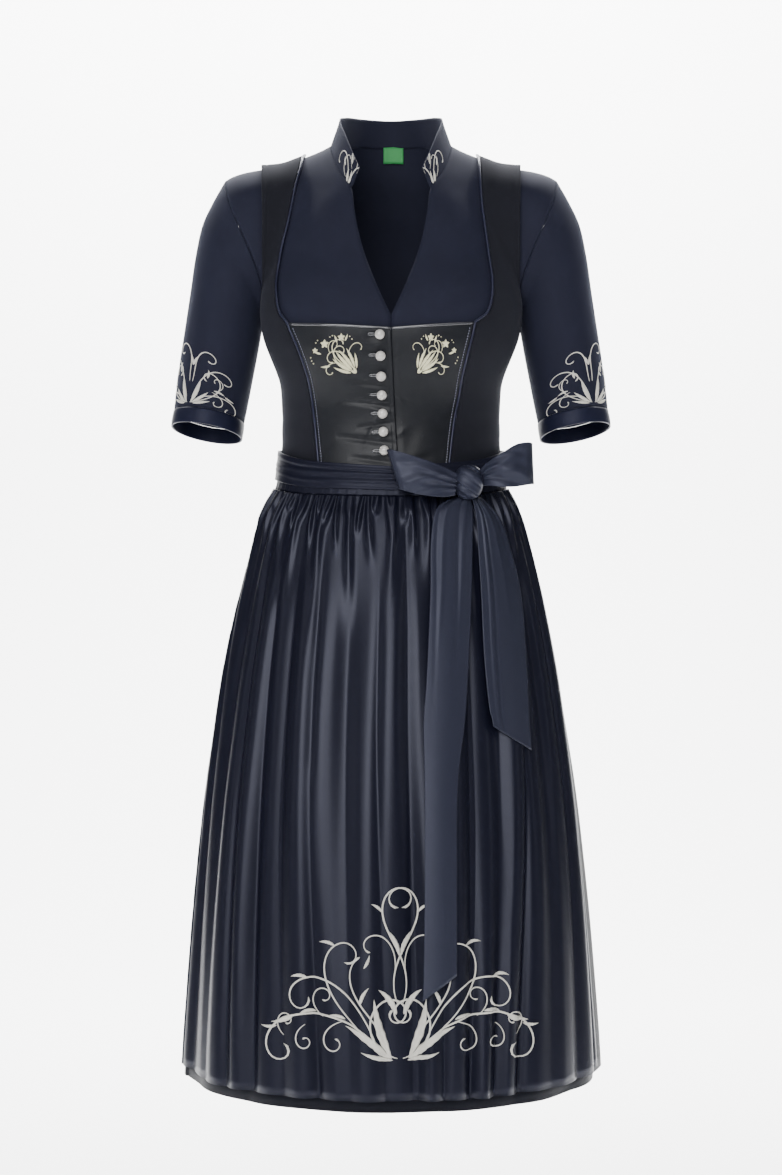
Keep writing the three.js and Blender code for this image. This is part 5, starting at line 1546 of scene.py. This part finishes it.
def apron_grid(turn, down):
    spread = mix(down, smooth(down, 0, 1), APRON["early_spread"])
    there = mix(turn, hem_turn(APRON_FOLDS, turn), spread)
    top = turned_waist(there) - BAND_DROP - 2 * SEAM
    z = mix(top, read(ROUND, "turn", "hem", np.abs(there)) + APRON["hem_above_skirt"], down)
    drop = turned_waist(there) - WAIST_GAP - z
    skirt = BODICE[0] + skirt_fold(there, drop, 0) + SKIRT_CLOTH
    depth = read(DEPTH, "drop", "apron", drop)
    gathered = 1 - smooth(drop, 25, 170)
    edge = 1 - smooth(np.abs(turn), APRON["edge"] - 5, APRON["edge"])
    near_band = 1 + 0.35 * bump(drop - 13, 9)
    wave = fold_wave(APRON_FOLDS, turn, drop) * (1 - gathered)
    puckers = gathers(turn, drop, GATHER_COUNT, APRON["edge"]) * near_band + 0.35
    wave = wave + puckers * mix(0.35, 1, gathered)
    push = np.zeros_like(drop)
    for at, start, end, wide, high in APRON_CREASES:
        within = smooth(drop, start - 15, start + 25) * (1 - smooth(drop, end * 0.55, end))
        push = push + high * within * bump(turn - at - 0.004 * (drop - start), wide)
    rise = np.clip(depth * (1 + wave) + push, 0, depth * APRON["ridges"] + 0.5)
    return ring_point(there, z, skirt_section(drop), skirt + APRON["above_skirt"] + rise * mix(0.3, 1, edge))


def apron():
    down = np.linspace(0, 1, 101)[:, None] ** 1.45
    turn = np.linspace(-APRON["edge"], APRON["edge"], 481)[None, :]
    points, out = apron_grid(turn + 0 * down, down)
    from_hem = along(points[:, 240])[-1] - along(points[:, 240])[:, None]
    hem_line = -0.3 * bump(from_hem - 22, 1.4)
    piece = keep("apron_panel",
        shell("apron_panel_cloth", points, out, 0, APRON_CLOTH + hem_line, APRON_SATIN),
                 "apron_satin", "apron_panel")


def apron_front(x, z):
    """How far forward the apron's outermost folds reach at places of the front."""
    drop = float(turned_waist(0)) - z
    section = skirt_section(drop)
    out = BODICE[0] + SKIRT_CLOTH + APRON["above_skirt"] + APRON_CLOTH \
        + read(DEPTH, "drop", "skirt_front", drop) \
        + APRON["ridges"] * read(DEPTH, "drop", "apron", drop)
    half, depth = section["half"] + out, section["depth"] + out
    return section["middle"] - depth * (1 - np.abs(x / half) ** section["square"]) ** (1 / section["square"])


# The folds that run down the tails: where across the tail they start and end, their width and
# height, and how far down the tail they reach.
TAIL_LONG_FOLDS = ((0.3, 0.1, 0.06, 1.2, 0.35), (0.62, 0.78, 0.06, -1.2, 0.42), (0.8, 0.5, 0.05, 1, 0.3),
                   (0.12, 0.3, 0.05, -0.8, 0.5))
TAIL_SHORT_FOLDS = ((0.25, 0.2, 0.04, 1.8, 1.6), (0.34, 0.29, 0.03, -1.5, 1.6), (0.6, 0.7, 0.07, 1, 0.6),
                    (0.85, 0.8, 0.06, -1, 0.5))


def tail(rows, rise, folds):
    at = np.linspace(0, 1, 111)[:, None]
    t = np.linspace(0, 1, 33)[None, :]
    last_place = len(rows["z"]) - 1
    rows = {**rows, "row": np.arange(last_place + 1, dtype=float)}
    length = (rows["z"][0] - rows["z"]) / (rows["z"][0] - rows["z"][-1])
    rows["at"] = length
    value = {key: read(rows, "at", key, at) for key in ("z", "right", "left", "off", "row")}
    x = mix(value["right"], value["left"], t)
    last = smooth(value["row"], last_place - 2, last_place)
    z = value["z"] + last * np.maximum(rise * t, -rise * (1 - t))
    push = np.sin(t * math.pi) * TAIL_BULGE
    for start, end, wide, high, reach in folds:
        push = push + high * bump(t - mix(start, end, at), wide) * (1 - smooth(at, 0.1, reach))
    return np.stack([x + 0 * z, apron_front(x, z) - value["off"] - push, z], axis=-1)


def loop(rows, pleats, side):
    across = np.linspace(1, -1, 29)
    lines = [spaced(np.stack([rows["x"] + h * rows["lean"], rows["y"], rows["z"] + h * rows["half"]],
        axis=1), 110)
             for h in across]
    points = np.stack(lines)
    normals = grid_normals(points, side)
    at = np.linspace(0, 1, 111)[None, :]
    near_knot = np.maximum(1 - smooth(at, 0.02, 0.42), smooth(at, 0.62, 0.98))
    h = across[:, None]
    push = np.zeros_like(h + at)
    for centre, wide, high in pleats:
        push = push + high * near_knot * bump(h - centre * (0.6 + 0.4 * (1 - near_knot)), wide)
    push = push + 0.3 * bump(1 - np.abs(h), 0.05) * (1 - near_knot)
    for start, end, wide, high in LOOP_DIAGONALS:
        push = push + high * bump(h - mix(start, end, at / 0.45), wide) \
            * smooth(at, 0.04, 0.16) * (1 - smooth(at, 0.36, 0.5))
    return points + normals * push[..., None], normals


# The folds wound round the knot: where between its foot and its head, width and height.
KNOT_SQUARE = 2.45
KNOT_FOLDS = ((-0.95, 0.12, -0.08), (-0.5, 0.07, -0.1), (-0.34, 0.12, 0.08), (0.16, 0.06, -0.06),
    (0.4, 0.22, 0.08),
              (0.86, 0.08, -0.1))

# The soft folds that cross the front of a loop: their places across it at the knot and at its turn,
# width and height.
LOOP_DIAGONALS = ((0.8, -0.7, 0.26, 3.0), (0.1, -1.3, 0.2, -2.2), (1.3, 0.4, 0.18, -1.6))
LOOP_RIGHT_PLEATS = ((0.62, 0.16, 1.9), (0.28, 0.14, -1.8), (-0.05, 0.14, 1.7), (-0.38, 0.15, -1.6),
    (-0.68, 0.14, 1.5))
LOOP_LEFT_PLEATS = ((0.55, 0.15, 1.5), (0.15, 0.16, -1.6), (-0.25, 0.14, 1.5), (-0.6, 0.15, -1.4))


def bow():
    for name, rows, pleats, side in (("right", BOW_LOOP_RIGHT, LOOP_RIGHT_PLEATS, 1),
                                     ("left", BOW_LOOP_LEFT, LOOP_LEFT_PLEATS, -1)):
        points, normals = loop(rows, pleats, side)
        piece = keep(f"bow_loop_{name}",
            shell(f"bow_loop_{name}_ribbon", points, normals, -RIBBON / 2, RIBBON / 2,
                                               RIBBON_SATIN), "apron_satin", f"bow_loop_{name}")

    u = np.linspace(0, 2 * math.pi, 97)[:-1][None, :]
    v = np.linspace(0.03, math.pi - 0.03, 49)[:, None]
    ball = np.stack([np.sin(v) * np.cos(u), np.sin(v) * np.sin(u), np.cos(v) + 0 * u], axis=-1)
    boxy = (np.abs(ball) ** KNOT_SQUARE).sum(axis=-1) ** (-1 / KNOT_SQUARE)
    wound = ball[..., 2] + 0.55 * ball[..., 0]
    for at, wide, deep in KNOT_FOLDS:
        boxy = boxy * (1 + deep * bump(wound - at, wide) * smooth(-ball[..., 1], 0.1, 0.6))
    rings = np.array([KNOT["x"], KNOT["y"], KNOT["z"]]) \
        + ball * boxy[..., None] * [KNOT["wide"], KNOT["deep"], KNOT["high"]]
    knot = made("bow_knot_ribbon", *lofted(rings), RIBBON_SATIN)
    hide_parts("bow_knot")

    for name, rows, rise, folds, flat_size in (
            ("long", TAIL_LONG, TAIL_LONG_RISE, TAIL_LONG_FOLDS, (0.05, 0.57)),
            ("short", TAIL_SHORT, TAIL_SHORT_RISE, TAIL_SHORT_FOLDS, (0.05, 0.3))):
        points = tail(rows, rise, folds)
        piece = keep(f"tail_{name}",
            shell(f"tail_{name}_ribbon", points, grid_normals(points, -1), -RIBBON / 2,
                                           RIBBON / 2, RIBBON_SATIN), "apron_satin", f"tail_{name}")


# The camera, the lights and the floor.
SCALE = 1.18
FAR = 2700
FOCAL_PIXELS = FAR / SCALE
PHOTO_LONG_SIDE = 1175
CAMERA_HEIGHT = -490
SENSOR = 36.0


def camera():
    data = bpy.data.cameras.new("camera")
    data.sensor_width = SENSOR
    data.lens = FOCAL_PIXELS / PHOTO_LONG_SIDE * SENSOR
    data.clip_start, data.clip_end = 0.05, 30
    view = bpy.data.objects.new("camera", data)
    view.location = (0, -FAR * MM, CAMERA_HEIGHT * MM)
    view.rotation_euler = (math.pi / 2, 0, 0)
    bpy.context.scene.collection.objects.link(view)
    bpy.context.scene.camera = view


def softbox(name, place, target, width, height, power, tint=(1, 1, 1)):
    data = bpy.data.lights.new(name, "AREA")
    data.shape, data.size, data.size_y = "RECTANGLE", width, height
    data.energy, data.color = power, tint
    light = bpy.data.objects.new(name, data)
    light.location = place
    direction = Vector(target) - Vector(place)
    light.rotation_euler = direction.to_track_quat("-Z", "Y").to_euler()
    bpy.context.scene.collection.objects.link(light)


FLOOR_BELOW_HEM = 420


def studio():
    floor = (read(ROUND, "turn", "hem", 0) - FLOOR_BELOW_HEM) * MM
    turn = np.linspace(0, math.pi / 2, 13)
    bend = 1.4
    back = 4.2
    profile = [(-6.0, floor), (back - bend, floor)]
    profile += [(back - bend + bend * math.sin(a), floor + bend * (1 - math.cos(a))) for a in turn[1:]]
    profile += [(back, floor + 5.5)]
    vertices = [(x, y, z) for y, z in profile for x in (-3.4, 3.4)]
    faces = [[2 * k, 2 * k + 1, 2 * k + 3, 2 * k + 2] for k in range(len(profile) - 1)]
    mesh = bpy.data.meshes.new("backdrop")
    mesh.from_pydata(vertices, [], faces)
    mesh.polygons.foreach_set("use_smooth", np.ones(len(faces), bool))
    paper = Finish("backdrop_paper", "F7F7F7", 0.9)
    paper.shade(paper.noise((2, 2, 2)), 0.995, 1.0)
    mesh.materials.append(paper.material)
    backdrop = bpy.data.objects.new("backdrop", mesh)
    bpy.context.scene.collection.objects.link(backdrop)

    world = bpy.data.worlds.new("studio")
    world.use_nodes = True
    world.node_tree.nodes["Background"].inputs["Color"].default_value = (0.95, 0.97, 1, 1)
    world.node_tree.nodes["Background"].inputs["Strength"].default_value = 0.14
    bpy.context.scene.world = world
    middle = (0, 0, -0.5)
    softbox("key", (-0.7, -3.5, 0.55), middle, 2.2, 1.7, 120)
    softbox("top", (0.2, -1.9, 2.1), middle, 1.8, 0.8, 24)
    softbox("left", (-2.6, -1.4, 0.3), middle, 0.5, 1.8, 8)
    softbox("right", (2.6, -1.5, 0.3), middle, 0.5, 1.8, 7)
    softbox("backdrop_light", (0, 1.6, 2.6), (0, 4.2, -0.4), 5.0, 1.2, 1400)


blouse()
collar()
label()
sleeves()
for _name, _side, _edge in (("right", -1, FRONT_EDGE_RIGHT), ("left", 1, FRONT_EDGE_LEFT)):
    bodice_front(_name, _side, _edge)
bodice_back()
closures()
waist_bands()
skirts()
apron()
bow()
embroidery()
camera()
studio()
